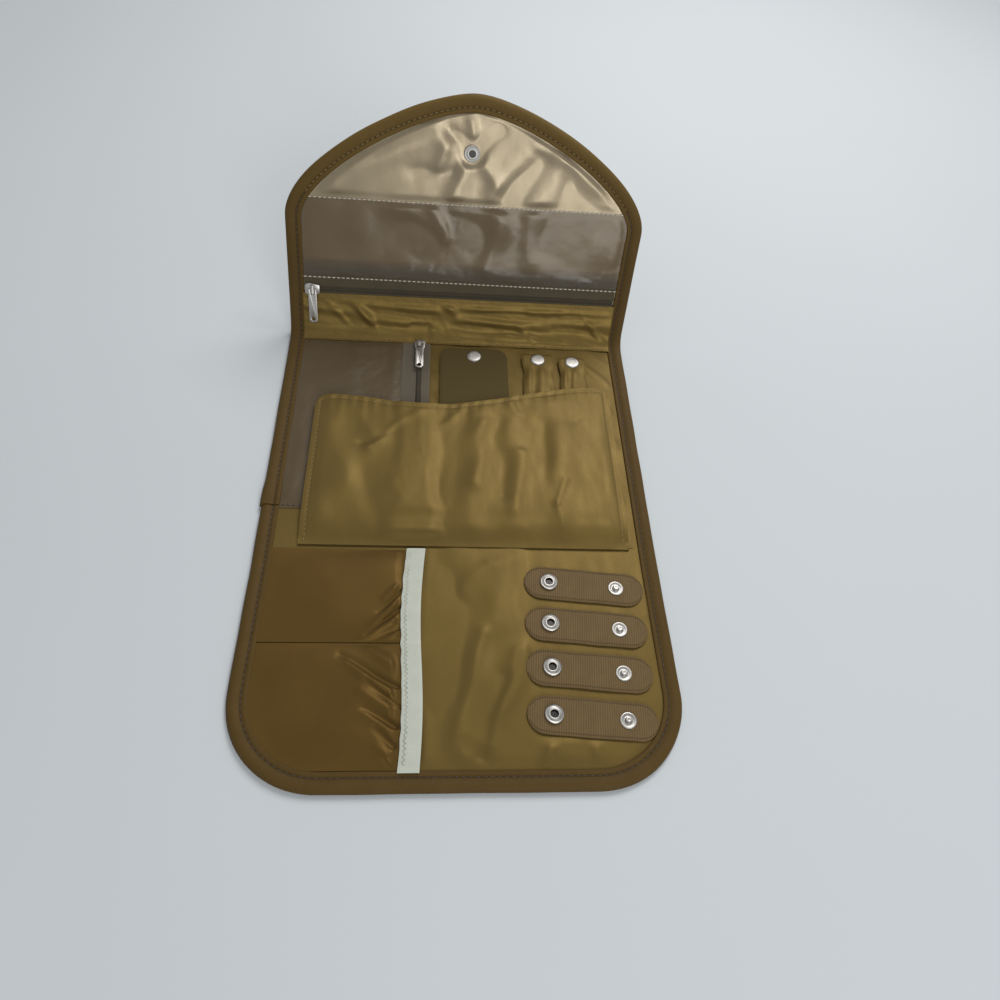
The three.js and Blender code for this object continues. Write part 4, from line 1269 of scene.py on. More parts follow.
class ORGANIZER_OT_binding(OrganizerOperator):
    """Make the edge binding and its stitches"""

    bl_idname = "organizer.binding"
    bl_label = "Edge binding"

    def execute(self, context):
        path, into = dense_at_folds(OUTLINE, inward(OUTLINE))
        start = binding_end(path)
        upper_path, upper_into = path[start:], into[start:]
        tuck = 5
        tucked = np.stack([np.full(tuck, -HALF_WIDTH), np.linspace(-46.5, -53.0, tuck)], -1)
        lower_path = np.vstack([tucked, path[:start + 1]])
        lower_into = np.vstack([np.tile([1.0, 0.0], (tuck, 1)), into[:start + 1]])
        from_end = lengths_along(upper_path[::-1])[::-1]
        swell = smooth(1 - (from_end - 8) / 14)
        upper = binding_piece(
            "edge_binding_upper", upper_path, upper_into, "binding_leatherette", swell,
        )
        stand_for(upper, ("flap_binding", "left_binding"), blend=UPPER)
        lower = binding_piece(
            "edge_binding_lower", lower_path, lower_into, "leatherette", 0 * lower_path[:, 0],
        )
        stand_for(lower, ("bottom_binding", "right_binding"), blend=LOWER)

        sizes = self.sizes
        stitch = (sizes.stitch / MM, sizes.stitch_gap / MM, sizes.thread / MM)
        inset = BINDING_WIDTH - sizes.stitch_inset / MM
        upper_line = upper_path + upper_into * inset
        lower_line = (lower_path + lower_into * inset)[tuck:]
        gold = upper_path[:, 1] > FLAP_START + GOLD_THREAD_V
        first, last = np.flatnonzero(gold)[[0, -1]]
        for name, line, joint, thread in (
            ("right_binding_stitches", upper_line[:first + 1], UPPER, "dark_thread"),
            ("tip_binding_stitches", upper_line[first:last + 1], UPPER, "gold_thread"),
            ("left_binding_stitches", upper_line[last:], UPPER, "dark_thread"),
            ("lower_binding_stitches", lower_line, LOWER, "dark_thread"),
        ):
            piece = seam(name, line[:, 0], line[:, 1], 0.34, thread, stitch)
            stand_for(piece, (), blend=joint)
        return {"FINISHED"}


class ORGANIZER_OT_linings(OrganizerOperator):
    """Make the satin linings of the middle and bottom panels and the flap's backing"""

    bl_idname = "organizer.linings"
    bl_label = "Linings"

    def execute(self, context):
        wave = self.sizes.lining_wave / MM
        low, high = s_limits(LINING_INSET)
        meeting = POCKET_TOP_S + 4

        rows = np.linspace(meeting, FOLD_Y + 6, 110)
        x, s, _, from_right = grid_of_case(rows, LINING_INSET, 150)
        creases = np.maximum(waves(x * 0.8 + s * 0.6, (s - x) * 0.25, 11, 21), 0) ** 1.5
        beside = smooth((x + 20) / 8) * smooth((FOLD_Y - s) / 4)
        soft = 0.35 * (1 + waves(x, s * 0.4, 24, 22))
        h = wave * (soft + 0.7 * creases * beside) * smooth(from_right / 8)
        h = np.minimum(h, 0.9) * np.where(x < -20, 0.2, 1.0)
        piece = slab("middle_satin", x, s, h - 0.1, 0.5, "satin")
        stand_for(piece, ("middle_lining",), blend=UPPER)

        rows = low + (meeting - low) * (1 - np.cos(np.linspace(0, math.pi, 130))) / 2
        x, s, _, from_right = grid_of_case(rows, LINING_INSET, 200)
        open_part = smooth((x + 22) / 6) * smooth(from_right / 8)
        at_straps = smooth((x - 34) / 8) * smooth((s + 194) / 6) * smooth((106 - x) / 4)
        height = 0.6 + 0.3 * waves(x + 0.18 * s, s * 0.4, 26, 31)
        height = height + 2.0 * folds(x, s, LINING_FOLDS, wander=1.5)
        h = wave * np.clip(height, 0.02, 2.1) * open_part * (1 - 0.75 * at_straps)
        piece = slab("bottom_satin", x, s, h * smooth((s - low) / 9) - 0.05, 0.5, "satin")
        stand_for(piece, ("bottom_lining",), blend=LOWER)

        start = FLAP_START + 1.0
        rows = high - (high - start) * (1 - np.sin(np.linspace(0, math.pi / 2, 120)))
        x, s, _, _ = grid_of_case(np.unique(np.r_[start, rows]), LINING_INSET, 170)
        h = flap_cloth_height(x, s, self.sizes.crumple / MM)
        piece = slab("flap_satin", x, s, h - 0.25, 0.5, "silver_satin")
        stand_for(piece, ("flap_lining",), body="flap")
        return {"FINISHED"}


def flap_cloth_height(x, s, crumple):
    """Crumples behind the flap's window, pulled flat at its seams and round its snap."""
    v = s - FLAP_START
    from_snap = np.hypot(x - CLOSURE_X, v - CLOSURE_V)
    free = smooth((v - 81) / 4.5) + smooth((v - 31) / 5) * (1 - smooth((v - 76) / 4.5))
    height = 0.45 + 0.2 * waves(x, v * 0.9, 30, 41) + folds(x, v, FLAP_FOLDS)
    left, right = sides(s, BINDING_WIDTH)
    pulled = smooth(np.minimum(x - left, right - x) / 8) * smooth((from_snap - 5.5) / 5)
    return crumple * np.maximum(height, 0.05) * free * pulled


class ORGANIZER_OT_flap_window(OrganizerOperator):
    """Make the vinyl window of the flap and the seams across it"""

    bl_idname = "organizer.flap_window"
    bl_label = "Flap window"

    def execute(self, context):
        low = FLAP_START + FLAP_ZIPPER_V + COIL_WIDTH / 2 + GAP + FLAP_TAPE - 2.2
        high = s_limits(SHEET_INSET)[1]
        rows = low + (high - low) * np.sin(np.linspace(0, math.pi / 2, 90))
        x, s, _, _ = grid_of_case(rows, SHEET_INSET, 130)
        cloth = flap_cloth_height(x, s, self.sizes.crumple / MM)
        h = cloth + 0.22 + 0.15 * (1 + waves(x, s, 45, 47)) * smooth((s - low) / 6)
        from_snap = np.hypot(x - CLOSURE_X, s - FLAP_START - CLOSURE_V)
        h = np.where(from_snap < 6.5, 0.25, h)
        piece = slab("flap_vinyl", x, s, h, 0.22, "window_vinyl")
        stand_for(piece, ("flap_vinyl_window",), body="flap")
        seams = [
            seam("window_seam", line_across(s, 120), s, 0.62, "cream_thread", WINDOW_STITCH)
            for s in (FLAP_START + v for v in WINDOW_SEAMS)
        ]
        stand_for(joined("window_stitches", seams), (), body="flap")
        return {"FINISHED"}


class ORGANIZER_OT_spine_strip(OrganizerOperator):
    """Make the satin strip over the spine, with its two seams"""

    bl_idname = "organizer.spine_strip"
    bl_label = "Spine strip"

    def execute(self, context):
        low, high = FOLD_Y - 0.8, FLAP_START + 19.6
        x, s, _, _ = grid_of_case(np.linspace(low, high, 44), SHEET_INSET, 220)
        between = smooth((s - low - 2.4) / 4) * smooth((high - 3 - s) / 4)
        long_folds = np.maximum(waves(x * 0.16, s * 1.1 + x * 0.04, 9, 51), -0.4)
        short_folds = np.maximum(waves(x * 0.9 + s * 0.8, s * 0.6, 15, 52), 0) ** 2
        h = 1.0 + between * (0.75 * (0.4 + long_folds) + 0.5 * short_folds)
        h = np.maximum(h + 0.05 * waves(x, s, 6, 53), 0.9)
        h = h + (0.8 - h) * near_slider(x) * (1 - smooth((s - FLAP_START) / 4))
        piece = slab("spine_satin", x, s, h, 0.3, "painted_light_strip_satin")
        stand_for(piece, ("spine_strip", "flap_satin_strip"), blend=UPPER)
        seams = []
        for line in (low + 1.8, high - 2.2):
            x = line_across(line, 150)
            h = 1.04 - 0.34 * near_slider(x) * (line < FLAP_START)
            seams.append(seam("strip_seam", x, line, h, "gold_thread", STRIP_STITCH))
        stand_for(joined("spine_stitches", seams), (), blend=UPPER)
        return {"FINISHED"}


def coil_mesh(name, x0, s0, x1, s1):
    """A closed nylon coil along a line: two rows of small humps that meet in the middle."""
    length = math.hypot(x1 - x0, s1 - s0)
    along = np.array([(x1 - x0) / length, (s1 - s0) / length])
    count = int(length / COIL_PITCH)
    turn = np.linspace(0, 2 * math.pi, 6, endpoint=False)
    share = np.array([-1.0, -0.75, -0.2, 0.25, 0.6])[:, None]
    rise = np.array([0.35, 0.8, 1.0, 0.85, 0.35])[:, None]
    thick = np.array([0.25, 0.4, 0.42, 0.38, 0.2])[:, None]
    side = np.tile([-1, 1], count)[:, None, None]
    middle = (np.arange(2 * count)[:, None, None] / 2 + 0.25) * length / count
    forward = middle + thick * np.cos(turn)
    aside = 0 * forward - side * share * COIL_WIDTH / 2
    h = 0 * forward + GAP + 0.15 + rise * (COIL_HEIGHT - 0.45) + thick * np.sin(turn)
    x = x0 + along[0] * forward - along[1] * aside
    s = s0 + along[1] * forward + along[0] * aside
    faces = tube_faces(len(share), len(turn), 2 * count)
    return new_piece(name, on_case(x, s, h), faces, "zipper_coil", np.stack([x, s, h], -1), 60)


def zipper_tape(name, line, rows, height, finish, body):
    """One side of a zipper's tape, with its x along line and its s along rows."""
    x, s = np.meshgrid(line, rows)
    piece = slab(name + "_cloth", x, s, 0.12 * waves(x, s, 20, 61) + height, 0.4, finish)
    stand_for(piece, (name,), body=body)


class ORGANIZER_OT_flap_zipper(OrganizerOperator):
    """Make the flap zipper's tapes and coil"""

    bl_idname = "organizer.flap_zipper"
    bl_label = "Flap zipper"

    def execute(self, context):
        middle = FLAP_START + FLAP_ZIPPER_V
        half = COIL_WIDTH / 2 - 0.5
        width = FLAP_TAPE + 1.5
        shift = SKEW * FLAP_ZIPPER_V
        line = np.linspace(-INNER_X - 0.6, INNER_X + 0.6, 140) + shift
        for name, low, high in (
            ("flap_zipper_tape_lower", middle - half - width, middle - half),
            ("flap_zipper_tape_upper", middle + half, middle + half + width),
        ):
            zipper_tape(name, line, np.linspace(low, high, 12), 0.62, "zipper_tape", "flap")
        left, right = shift - INNER_X, shift + INNER_X
        coil = coil_mesh("flap_zipper_coil_turns", left, middle, right, middle)
        stand_for(coil, ("flap_zipper_coil",), body="flap")
        return {"FINISHED"}


class ORGANIZER_OT_side_pocket(OrganizerOperator):
    """Make the vinyl pocket of the middle panel and its zipper"""

    bl_idname = "organizer.side_pocket"
    bl_label = "Vinyl pocket"

    def execute(self, context):
        top = FOLD_Y - GAP
        low = top - SIDE_ZIPPER_LENGTH
        zipper = SIDE_ZIPPER_X
        half = COIL_WIDTH / 2 - 0.4
        edge = zipper - COIL_WIDTH / 2 - GAP - SIDE_TAPES[0] - GAP
        rows = np.linspace(low, top, 90)
        left = sides(rows, SHEET_INSET)[0]
        x, s = grid_across(rows, left, edge + 1.2, 60)
        inside = smooth((x - left[:, None]) / 8) * smooth((edge - x) / 6)
        inside = inside * smooth((s - low) / 8) * smooth((top - s) / 6)
        h = 0.5 + inside * (0.55 + 0.4 * waves(x, s * 0.6, 38, 71))
        piece = slab("pocket_vinyl", x, s, h, 0.3, "pocket_vinyl")
        stand_for(piece, ("vinyl_pocket",), body="middle_panel")
        for name, x0, x1 in (
            ("pocket_zipper_tape_left", edge, zipper - half),
            ("pocket_zipper_tape_right", zipper + half, zipper + half + SIDE_TAPES[1] + 0.4),
        ):
            line, rows = np.linspace(x0, x1, 10), np.linspace(low, top, 80)
            zipper_tape(name, line, rows, 0.7, "side_zipper_tape", "middle_panel")
        coil = coil_mesh("pocket_zipper_coil_turns", zipper, top, zipper, low)
        stand_for(coil, ("pocket_zipper_coil",), body="middle_panel")
        down, across = np.linspace(low, top, 60), np.linspace(-105.0, zipper - 3.0, 60)
        seams = [
            seam("tape_seam", edge + 2.0, down, 0.82, "gold_thread", TAPE_STITCH),
            seam("tape_seam", zipper + 6.4, down, 0.82, "gold_thread", TAPE_STITCH),
            seam("tape_seam", across, low + 1.6, 0.7, "dark_thread", POCKET_STITCH),
        ]
        stand_for(joined("pocket_stitches", seams), (), body="middle_panel")
        return {"FINISHED"}


def strap_folds(strip, x, s, across):
    """Height of the soft folds along a necklace strap, below its snap."""
    below = strip["snap"] - s
    fold = smooth((below - 3) / 9) * (0.1 + 0.9 * smooth((s - 14) / 10))
    centre = 0.22 * np.sin(s / 14 + strip["x"])
    ridge = np.exp(-((across - centre) / 0.3) ** 2) + 0.7 * np.exp(-((across + 0.62) / 0.2) ** 2)
    return fold * (ridge - 0.3) + 0.3 * fold * waves(x, s * 0.7, 11, 81)


class ORGANIZER_OT_board_and_straps(OrganizerOperator):
    """Make the earring board and the two necklace straps"""

    bl_idname = "organizer.board_and_straps"
    bl_label = "Earring board and necklace straps"

    def execute(self, context):
        start = STRIP_START_S
        across = np.linspace(-1, 1, 41)
        for name, strip in STRIPS.items():
            middle, top, corner = strip["x"], strip["top"], strip["corner"]
            rows = end_spacing(start, top, 90, (0, corner))
            width = rounded_width(rows, start, top, strip["width"] / 2, (0.01, corner))[:, None]
            x = middle + width * across
            s = rows[:, None] + 0 * x
            h = GAP + (TAB_LIFT - GAP) * smooth((s - start - 4) / 7) + TAB_THICKNESS
            soft = name != "earring_board"
            if soft:
                h = h + strap_folds(strip, x, s, across)
                gather = 1 - 0.1 * np.exp(-((strip["snap"] - s - 11) / 6) ** 2)
                x = middle + (x - middle) * gather
            edge = np.minimum((1 - np.abs(across)) * width, top - s)
            h = h - 0.35 * (1 - smooth(edge / 1.6))
            from_snap = np.hypot(x - middle, s - strip["snap"])
            h = np.where(from_snap < 5.6, TAB_TOP - 0.05, h)
            piece = slab(name + "_cloth", x, s, h, 0.85, "satin" if soft else "board_cloth")
            hinge = strip["hinge"] * MM
            ends = (0, hinge - 0.003, 0.006), (0, hinge + 0.003, 0.006)
            stand_for(
                piece, (name, strip["tab"]),
                blend=("middle_panel", strip["body"], *ends),
            )
        return {"FINISHED"}


class ORGANIZER_OT_snaps(OrganizerOperator):
    """Make the snap caps, sockets and studs"""

    bl_idname = "organizer.snaps"
    bl_label = "Snaps"

    def execute(self, context):
        under_cap = [
            (0, 2.05), (2.1, 2.05), (2.1, 0.9), (2.5, 0.8), (4.0, 0.85), (4.3, 1.1), (4.3, 2.1),
            (1.3, 2.15), (1.3, TAB_TOP),
        ]
        flange = [(0, 0), (4.2, 0), (4.3, 0.15), (4.2, 0.42), (3.6, 0.5)]
        for strip in STRIPS.values():
            name, place = strip["snap_name"], flat_place(strip["x"], strip["snap"])
            cap_node, stud_node = strip["snap_nodes"]
            profile = under_cap + cap_profile(TAB_TOP)
            cap = turned_piece(name + "_cap_turned", profile, place, "nickel")
            stand_for(cap, (cap_node,), body=strip["body"])
            profile = flange + nub_profile(0.42, 1.4)
            stud = turned_piece(name + "_stud_turned", profile, place, "nickel")
            stand_for(stud, (stud_node,), body="middle_panel")

        high = STRAP_TOP
        foot = [(0, 0.1), (4.2, 0.1), (4.3, 0.25), (4.2, 0.55), (1.3, 0.58), (1.3, high)]
        seat = [
            (3.9, high), (4.3, high + 0.12), (4.3, high + 0.38), (4.05, high + 0.52),
            (3.6, high + 0.5), (2.9, high + 0.3), (2.45, high + 0.2),
        ]
        for index in range(RING_STRAPS):
            number = index + 1
            socket = turned_piece(
                f"ring_socket_{number}_turned", foot + socket_profile(high, high + 1.6),
                flat_place(*ring_origin(index), RING_TILT), "nickel", dark=3,
            )
            stand_for(
                socket, (f"ring_snap_socket_{number}",), body=f"ring_flap_{number}",
            )
            stud = turned_piece(
                f"ring_stud_{number}_turned", foot + seat + nub_profile(high + 0.2, 1.65),
                flat_place(*to_ring(index, RING_SPACING, 0)), "nickel",
            )
            stand_for(stud, (f"ring_snap_stud_{number}",), body="bottom_panel")

        outer_cap = [
            (0, -4.3), (1.2, -4.28), (2.6, -4.2), (3.8, -4.02), (4.6, -3.8), (5.0, -3.5),
            (4.9, -3.32), (4.6, -3.3), (1.3, -3.3), (1.3, 0.3),
        ]
        # The closure snap's nickel has light painted on.
        closure = turned_piece(
            "closure_snap_turned", outer_cap + socket_profile(0.3, 2.3),
            flap_place(CLOSURE_X, CLOSURE_V), "painted_light_nickel", dark=3,
        )
        stand_for(closure, ("closure_snap",), body="flap")
        return {"FINISHED"}


class ORGANIZER_OT_ring_straps(OrganizerOperator):
    """Make the four ring straps"""

    bl_idname = "organizer.ring_straps"
    bl_label = "Ring straps"

    def execute(self, context):
        half = RING_HALF_WIDTH
        low, high = -RING_ENDS[0], RING_SPACING + RING_ENDS[1]
        rows = end_spacing(low, high, 60, (half, half))
        even_width = rounded_width(rows, low, high, half, (half, half))
        rim_shares = 1 - np.array([0, 0.03, 0.06, 0.09, 0.115, 0.14, 0.165, 0.2, 0.25])
        across = np.r_[-rim_shares, np.linspace(-0.68, 0.68, 15), rim_shares[::-1]]
        for index in range(RING_STRAPS):
            width = even_width + 0.12 * waves(rows, rows * 0, 22, 91 + index) * (even_width > 5)
            py = width[:, None] * across
            px = rows[:, None] + 0 * py
            x, s = to_ring(index, px, py)
            edge = (1 - np.abs(across)) * width[:, None]
            rim = np.minimum(edge, np.minimum(px - low, high - px))
            groove = np.exp(-((rim - 1.3) / 0.32) ** 2)
            from_snap = np.minimum(np.hypot(px, py), np.hypot(px - RING_SPACING, py))
            crown = 0.12 * waves(px, py, 26, 95 + index) * smooth((from_snap - 5) / 4)
            h = STRAP_TOP + crown - 0.28 * groove - 0.5 * (1 - smooth(rim / 0.9))
            number = index + 1
            # The lay's third number marks the pressed groove, where shade is painted.
            piece = sheet_between(
                f"ring_strap_{number}_leatherette", on_case(x, s, h), on_case(x, s, STRAP_LOW),
                "ribbed_leatherette", np.stack([px, py, groove], -1),
            )
            fold = np.array(to_ring(index, RING_SPACING / 2, 0)) * MM
            way = np.array([math.cos(RING_TILT), math.sin(RING_TILT)]) * 0.003
            ends = (*(fold + way), 0.005), (*(fold - way), 0.005)
            stand_for(
                piece, (f"ring_strap_{number}", f"ring_strap_flap_{number}"),
                blend=("bottom_panel", f"ring_flap_{number}", *ends),
            )
        return {"FINISHED"}


def pocket_height(t):
    """How high a pocket's mouth stands across its width t."""
    return 1 - np.abs(2 * t - 1) ** 4


def elastic_height(s):
    """The elastic's upper face: low where it is tacked, and bowed between."""
    upper = pocket_height((s - POCKET_SEAM_S) / (POCKET_TOP_S - POCKET_SEAM_S))
    lower = pocket_height((s - POCKET_END_S) / (POCKET_SEAM_S - POCKET_END_S))
    bow = np.where(s > POCKET_SEAM_S, upper, lower)
    return 1.6 + 3.6 * np.clip(bow, 0.12, 1)


class ORGANIZER_OT_gathered_pockets(OrganizerOperator):
    """Make the two taffeta pockets, gathered at their mouths"""

    bl_idname = "organizer.gathered_pockets"
    bl_label = "Gathered pockets"

    def execute(self, context):
        gather = self.sizes.gather / MM
        rows, columns = 72, 96
        v = np.linspace(0, 1, rows)[:, None]
        u = np.linspace(0, 1, columns)[None, :]
        for name, top, end, seed, lines, length in (
            ("upper_gathered_pocket", POCKET_TOP_S, POCKET_SEAM_S + 0.4, 101,
             UPPER_POCKET_FOLDS, 0.058),
            ("lower_gathered_pocket", POCKET_SEAM_S - 0.2, POCKET_END_S, 102,
             LOWER_POCKET_FOLDS, 0.067),
        ):
            s = end + (top - end) * v + 0 * u
            left = sides(s, SHEET_INSET)[0]
            x = left + (MOUTH_X + 1.5 - left) * u
            pillow = 3.8 * (1 - (1 - u) ** 2.2) * pocket_height(v)
            gathers = gather * folds(x, s, lines, fade=0.65, wander=1.0, seed=seed)
            soft = 0.35 * waves(x, s, 42, seed) * smooth(u / 0.2)
            h = 0.6 + pillow + (gathers + soft) * smooth(v / 0.04) * smooth((1 - v) / 0.04)
            under_band = smooth((x - MOUTH_X + 6.5) / 4)
            h = h - under_band * np.maximum(h - elastic_height(s) + 0.95, 0)
            grid = on_case(x, s, np.clip(h, 0.45, 6.2))
            pinned = np.pad(np.zeros((rows - 2, columns - 2)), 1, constant_values=1)
            board = flat_board(-150, 20, -240, -60, FACE - 0.1)
            settled = settle(grid, pinned, 0.12, 25.0, 2.0, [board])
            grid = eased(grid, settled, 0.6, 10)
            grid, lay = finer(grid), finer(flat_lay(x, s))
            piece = thick_cloth(name + "_taffeta", grid, lay, 0.35, "taffeta")
            stand_for(piece, (name,), blend=LOWER)
        return {"FINISHED"}


class ORGANIZER_OT_elastic(OrganizerOperator):
    """Make the elastic band over the pocket mouths, with its zigzag seam"""

    bl_idname = "organizer.elastic"
    bl_label = "Elastic band"

    def execute(self, context):
        rows = np.linspace(POCKET_END_S - 1.5, POCKET_TOP_S + 0.5, 150)
        across = np.linspace(0, 1, 15)
        sway = 1.2 * np.sin((rows + 205) / 122 * 2 * math.pi + 0.4)[:, None]
        ruffle = 0.25 * waves(rows, rows * 0, 7, 111)[:, None] * (1 - across)
        left = ELASTIC_LEFT + sway + ruffle
        x = left + ELASTIC_WIDTH * across
        s = rows[:, None] + 0 * x
        h = elastic_height(s) + 0.15 * waves(x * 0.4, s, 12, 112)
        h = h - 0.25 * np.abs(2 * across - 1) ** 8
        piece = slab("elastic_band_knit", x, s, h, 0.75, "elastic")
        stand_for(piece, ("elastic_band",), blend=LOWER)
        steps = np.arange(rows[4], rows[-4], 1.25)
        zigzag = np.where(np.arange(len(steps)) % 2, 1.5, 3.3)
        base_x = np.interp(steps, rows, left[:, 0]) + zigzag
        base_h = np.interp(steps, rows, elastic_height(rows)) + 0.05
        points = on_case(base_x, steps, base_h)
        ups = on_case(base_x, steps, base_h + 1) - points
        thread = thread_row(
            "elastic_stitches", points[:-1], points[1:], ups[:-1], "white_thread", 0.16, 0.05,
        )
        stand_for(thread, (), blend=LOWER)
        return {"FINISHED"}


def cover_height(x, s):
    """The cover flap's height as it is laid, with its folds and the puckers at its hem."""
    rise = 1 - np.exp((COVER_HEM_S - s) / 11)
    from_top = cover_top(x) - s
    puckers = np.sin(x * 0.8 + 1.5 * np.sin(x / 11)) * np.exp(-from_top / 7)
    puckers = puckers * smooth(from_top / 3)
    soft = 0.35 * waves(x, s * 0.6, 30, 121)
    across = x + 2.5 * waves(x, s, 45, 123)
    bands_x, bands_h = np.array(COVER_BROAD_FOLDS).T
    broad = sum(np.interp(across + d, bands_x, bands_h) for d in (-3, -1, 1, 3)) / 4
    shape = soft + broad * smooth(from_top / 12) + 0.9 * folds(x, s, COVER_FOLDS)
    h = 0.7 + rise * 5.4 + smooth((s - COVER_HEM_S) / 14) * shape + 0.3 * puckers
    h = h - 1.2 * (1 - smooth(from_cover_sides(x) / 10)) * rise
    return np.maximum(h, 0.7 + 3.4 * smooth((s - COVER_HEM_S) / 20))


def strips_height(x, s):
    """Height of what lies under the cover flap: the board, the straps and the slider's way."""
    height = 0 * x
    for strip in STRIPS.values():
        beside = smooth((strip["width"] / 2 + 10 - np.abs(x - strip["x"])) / 10)
        rise = smooth((s - STRIP_START_S + 12) / 20)
        height = np.maximum(height, TAB_TOP * beside * rise)
    wandered = x - SIDE_ZIPPER_X + 2 * waves(x, s, 34, 124)
    beside = smooth((30 - np.abs(wandered)) / 23)
    rise = 4.4 * smooth((s - COVER_HEM_S) / 9.5) + 1.0 * smooth((s + 64) / 9)
    return np.maximum(height, rise * beside)


def hem_line(grid, lay):
    """Points and upward directions along the cover flap's seam, inside its free edges."""
    low = COVER_HEM_S + 1.5
    x0, x1 = COVER[0] + HEM_INSET, COVER[1] - HEM_INSET
    xs = np.r_[np.full(40, x0), np.linspace(x0, x1, 160), np.full(40, x1)]
    top = cover_top(xs) - HEM_INSET
    ss = np.r_[
        np.linspace(low, top[0] - HEM_CORNER, 40), top[40:200],
        np.linspace(top[-1] - HEM_CORNER, low, 40),
    ]
    normals = grid_normals(grid)
    column_x = lay[len(lay) // 2, :, 0]
    found, ups = [], []
    for x, s in zip(xs, ss):
        j = int(np.clip(np.searchsorted(column_x, x) - 1, 0, len(column_x) - 2))
        t = (x - column_x[j]) / (column_x[j + 1] - column_x[j])
        here, normal, flat = (
            values[:, j] * (1 - t) + values[:, j + 1] * t for values in (grid, normals, lay)
        )
        found.append(points_at(s, flat[:, 1], here))
        ups.append(points_at(s, flat[:, 1], normal))
    return np.array(found), np.array(ups)


class ORGANIZER_OT_cover_flap(OrganizerOperator):
    """Make the satin cover flap, settled over the straps, with its hem seams"""

    bl_idname = "organizer.cover_flap"
    bl_label = "Cover flap"

    def execute(self, context):
        left, right = COVER
        rows, columns = 56, 98
        v = np.linspace(0, 1, rows)[:, None]
        u = np.linspace(0, 1, columns)[None, :]
        share = 0.8 * u + 0.2 * (0.5 - np.cos(math.pi * u) / 2)
        x = left + (right - left) * share + 0 * v
        s = COVER_HEM_S + (cover_top(x) - COVER_HEM_S) * v
        grid = on_case(x, s, cover_height(x, s))
        pinned = np.zeros((rows, columns))
        pinned[:2] = 1
        boards = [flat_board(-150, 150, -64, 90, FACE + 1.8)]
        for strip in STRIPS.values():
            middle, half = strip["x"], strip["width"] / 2
            boards.append(flat_board(middle - half, middle + half, -60, 80, FACE + 3.4))
        settled = settle(grid, pinned, 0.2, 30.0, 4.0, boards)
        grid = eased(grid, settled, 0.9, 8)
        least = FACE + strips_height(x, s) + 0.8
        apart = grid[..., 2] - least
        grid[..., 2] = least + (apart + np.hypot(apart, 1.0)) / 2
        grid, lay = finer(grid), finer(flat_lay(x, s))
        x, s = lay[..., 0], lay[..., 1]
        edge = np.minimum(from_cover_sides(x), cover_top(x) - s)
        hem = 0.3 * np.exp(-((edge - HEM_INSET) / 0.8) ** 2) - 0.12 * (edge < HEM_INSET)
        grid = grid - grid_normals(grid) * (hem * (s > COVER_HEM_S + 6))[..., None]
        piece = thick_cloth("cover_flap_satin", grid, lay, 0.7, "satin")
        ends = (0, -0.0835, 0.0039), (0, -0.0785, 0.0039)
        stand_for(
            piece, ("cover_flap",), blend=("middle_panel", "cover_flap", *ends),
        )
        line, ups = hem_line(grid, lay)
        stitches = seam_in_space(
            "cover_stitches", line + ups * 0.02, ups, "gold_thread", HEM_STITCH,
        )
        stand_for(stitches, (), body="cover_flap")
        return {"FINISHED"}


class ORGANIZER_OT_hardware(OrganizerOperator):
    """Finish the sliders, pulls and closure stud"""

    bl_idname = "organizer.hardware"
    bl_label = "Zipper hardware"

    def execute(self, context):
        for name in (
            "flap_zipper_slider", "flap_zipper_pull", "pocket_zipper_slider", "pocket_zipper_pull",
            "closure_stud",
        ):
            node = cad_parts[name]
            node.data.materials.clear()
            node.data.materials.append(FINISHES["nickel"])
            weld = node.modifiers.new("weld", "WELD")
            weld.merge_threshold = 0.00001
            set_all(
                node.modifiers.new("soft edges", "BEVEL"), width=0.00018, segments=2,
                limit_method="ANGLE", angle_limit=math.radians(35), harden_normals=True,
            )
            node.data.shade_smooth()
        return {"FINISHED"}


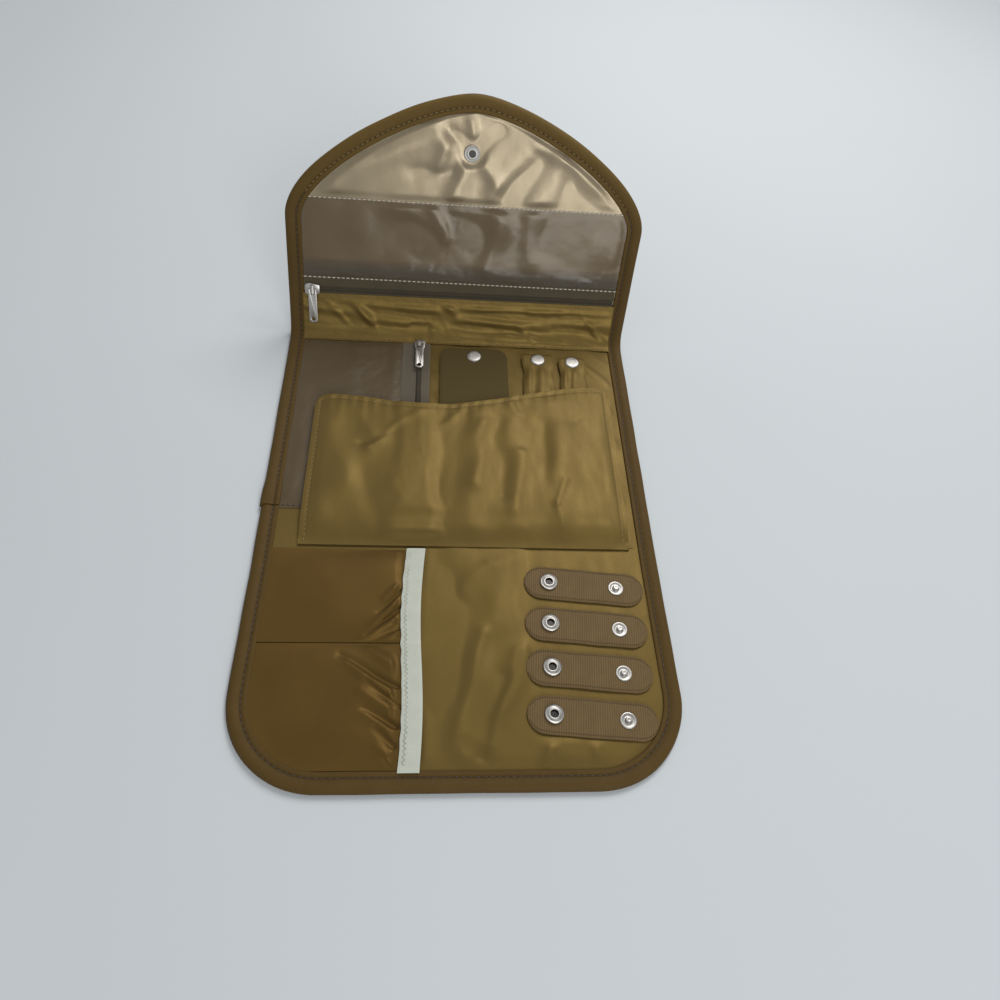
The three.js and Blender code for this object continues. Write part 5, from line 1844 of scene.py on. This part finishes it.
class ORGANIZER_OT_stage(OrganizerOperator):
    """Lay the floor and set the soft studio light"""

    bl_idname = "organizer.stage"
    bl_label = "Stage"

    def execute(self, context):
        far = FLOOR_SIZE
        points = [(-far, -far, 0), (far, -far, 0), (far, far, 0), (-far, far, 0)]
        floor = new_piece("floor", points, [[0, 1, 2, 3]], "floor")
        floor.location.z = -FLOOR_DROP

        # The background is paler to the camera than the light that it gives.
        world = bpy.data.worlds.new("studio")
        world.use_nodes = True
        tree = world.node_tree
        path = add_node(tree, "ShaderNodeLightPath").outputs
        shown = calc(tree, "MAXIMUM", path["Is Camera Ray"], path["Is Transmission Ray"])
        shown = calc(tree, "MAXIMUM", shown, path["Is Glossy Ray"])
        background = tree.nodes["Background"].inputs
        background["Color"].default_value = (0.95, 0.975, 1.0, 1)
        set_input(tree, background["Strength"], ramp(tree, shown, 0.32, 0.58, 0.0, 1.0))
        context.scene.world = world

        for name, place, aim, width, energy, colour in (
            ("key_light", (0.36, 0.68, 0.98), (0, 0, 0.02), 0.6, 8.6, (1.0, 0.99, 0.97)),
            ("front_light", (0.4, -1.25, 0.8), (0, 0.1, 0.05), 0.8, 9.0, (0.98, 0.99, 1.0)),
        ):
            data = bpy.data.lights.new(name, "AREA")
            set_all(data, shape="SQUARE", size=width, energy=energy, color=colour)
            towards = (Vector(aim) - Vector(place)).to_track_quat("-Z", "Y").to_euler()
            set_all(
                new_object(name, data), location=place, visible_camera=False,
                rotation_euler=towards,
            )
        context.scene.view_settings.view_transform = "Standard"
        return {"FINISHED"}


class ORGANIZER_PT_panel(bpy.types.Panel):
    """Lists the organizer's steps, sizes and colours"""

    bl_idname = "ORGANIZER_PT_panel"
    bl_label = "Jewelry organizer"
    bl_space_type = "VIEW_3D"
    bl_region_type = "UI"
    bl_category = "Organizer"

    def draw(self, context):
        layout = self.layout
        for step in STEPS:
            layout.operator(step.bl_idname)
        for group in (context.scene.organizer_sizes, context.scene.organizer_colours):
            box = layout.box()
            for name in group.__annotations__:
                box.prop(group, name)


STEPS = (
    ORGANIZER_OT_finishes,
    ORGANIZER_OT_camera,
    ORGANIZER_OT_outer_cover,
    ORGANIZER_OT_binding,
    ORGANIZER_OT_linings,
    ORGANIZER_OT_flap_window,
    ORGANIZER_OT_spine_strip,
    ORGANIZER_OT_flap_zipper,
    ORGANIZER_OT_side_pocket,
    ORGANIZER_OT_board_and_straps,
    ORGANIZER_OT_snaps,
    ORGANIZER_OT_ring_straps,
    ORGANIZER_OT_gathered_pockets,
    ORGANIZER_OT_elastic,
    ORGANIZER_OT_cover_flap,
    ORGANIZER_OT_hardware,
    ORGANIZER_OT_stage,
)

CLASSES = (OrganizerColours, OrganizerSizes, *STEPS, ORGANIZER_PT_panel)


def register():
    for each in CLASSES:
        bpy.utils.register_class(each)
    bpy.types.Scene.organizer_colours = PointerProperty(type=OrganizerColours)
    bpy.types.Scene.organizer_sizes = PointerProperty(type=OrganizerSizes)


def unregister():
    del bpy.types.Scene.organizer_sizes
    del bpy.types.Scene.organizer_colours
    for each in reversed(CLASSES):
        bpy.utils.unregister_class(each)


def main():
    register()
    for step in STEPS:
        group, name = step.bl_idname.split(".")
        getattr(getattr(bpy.ops, group), name)()


if __name__ == "__main__":
    main()
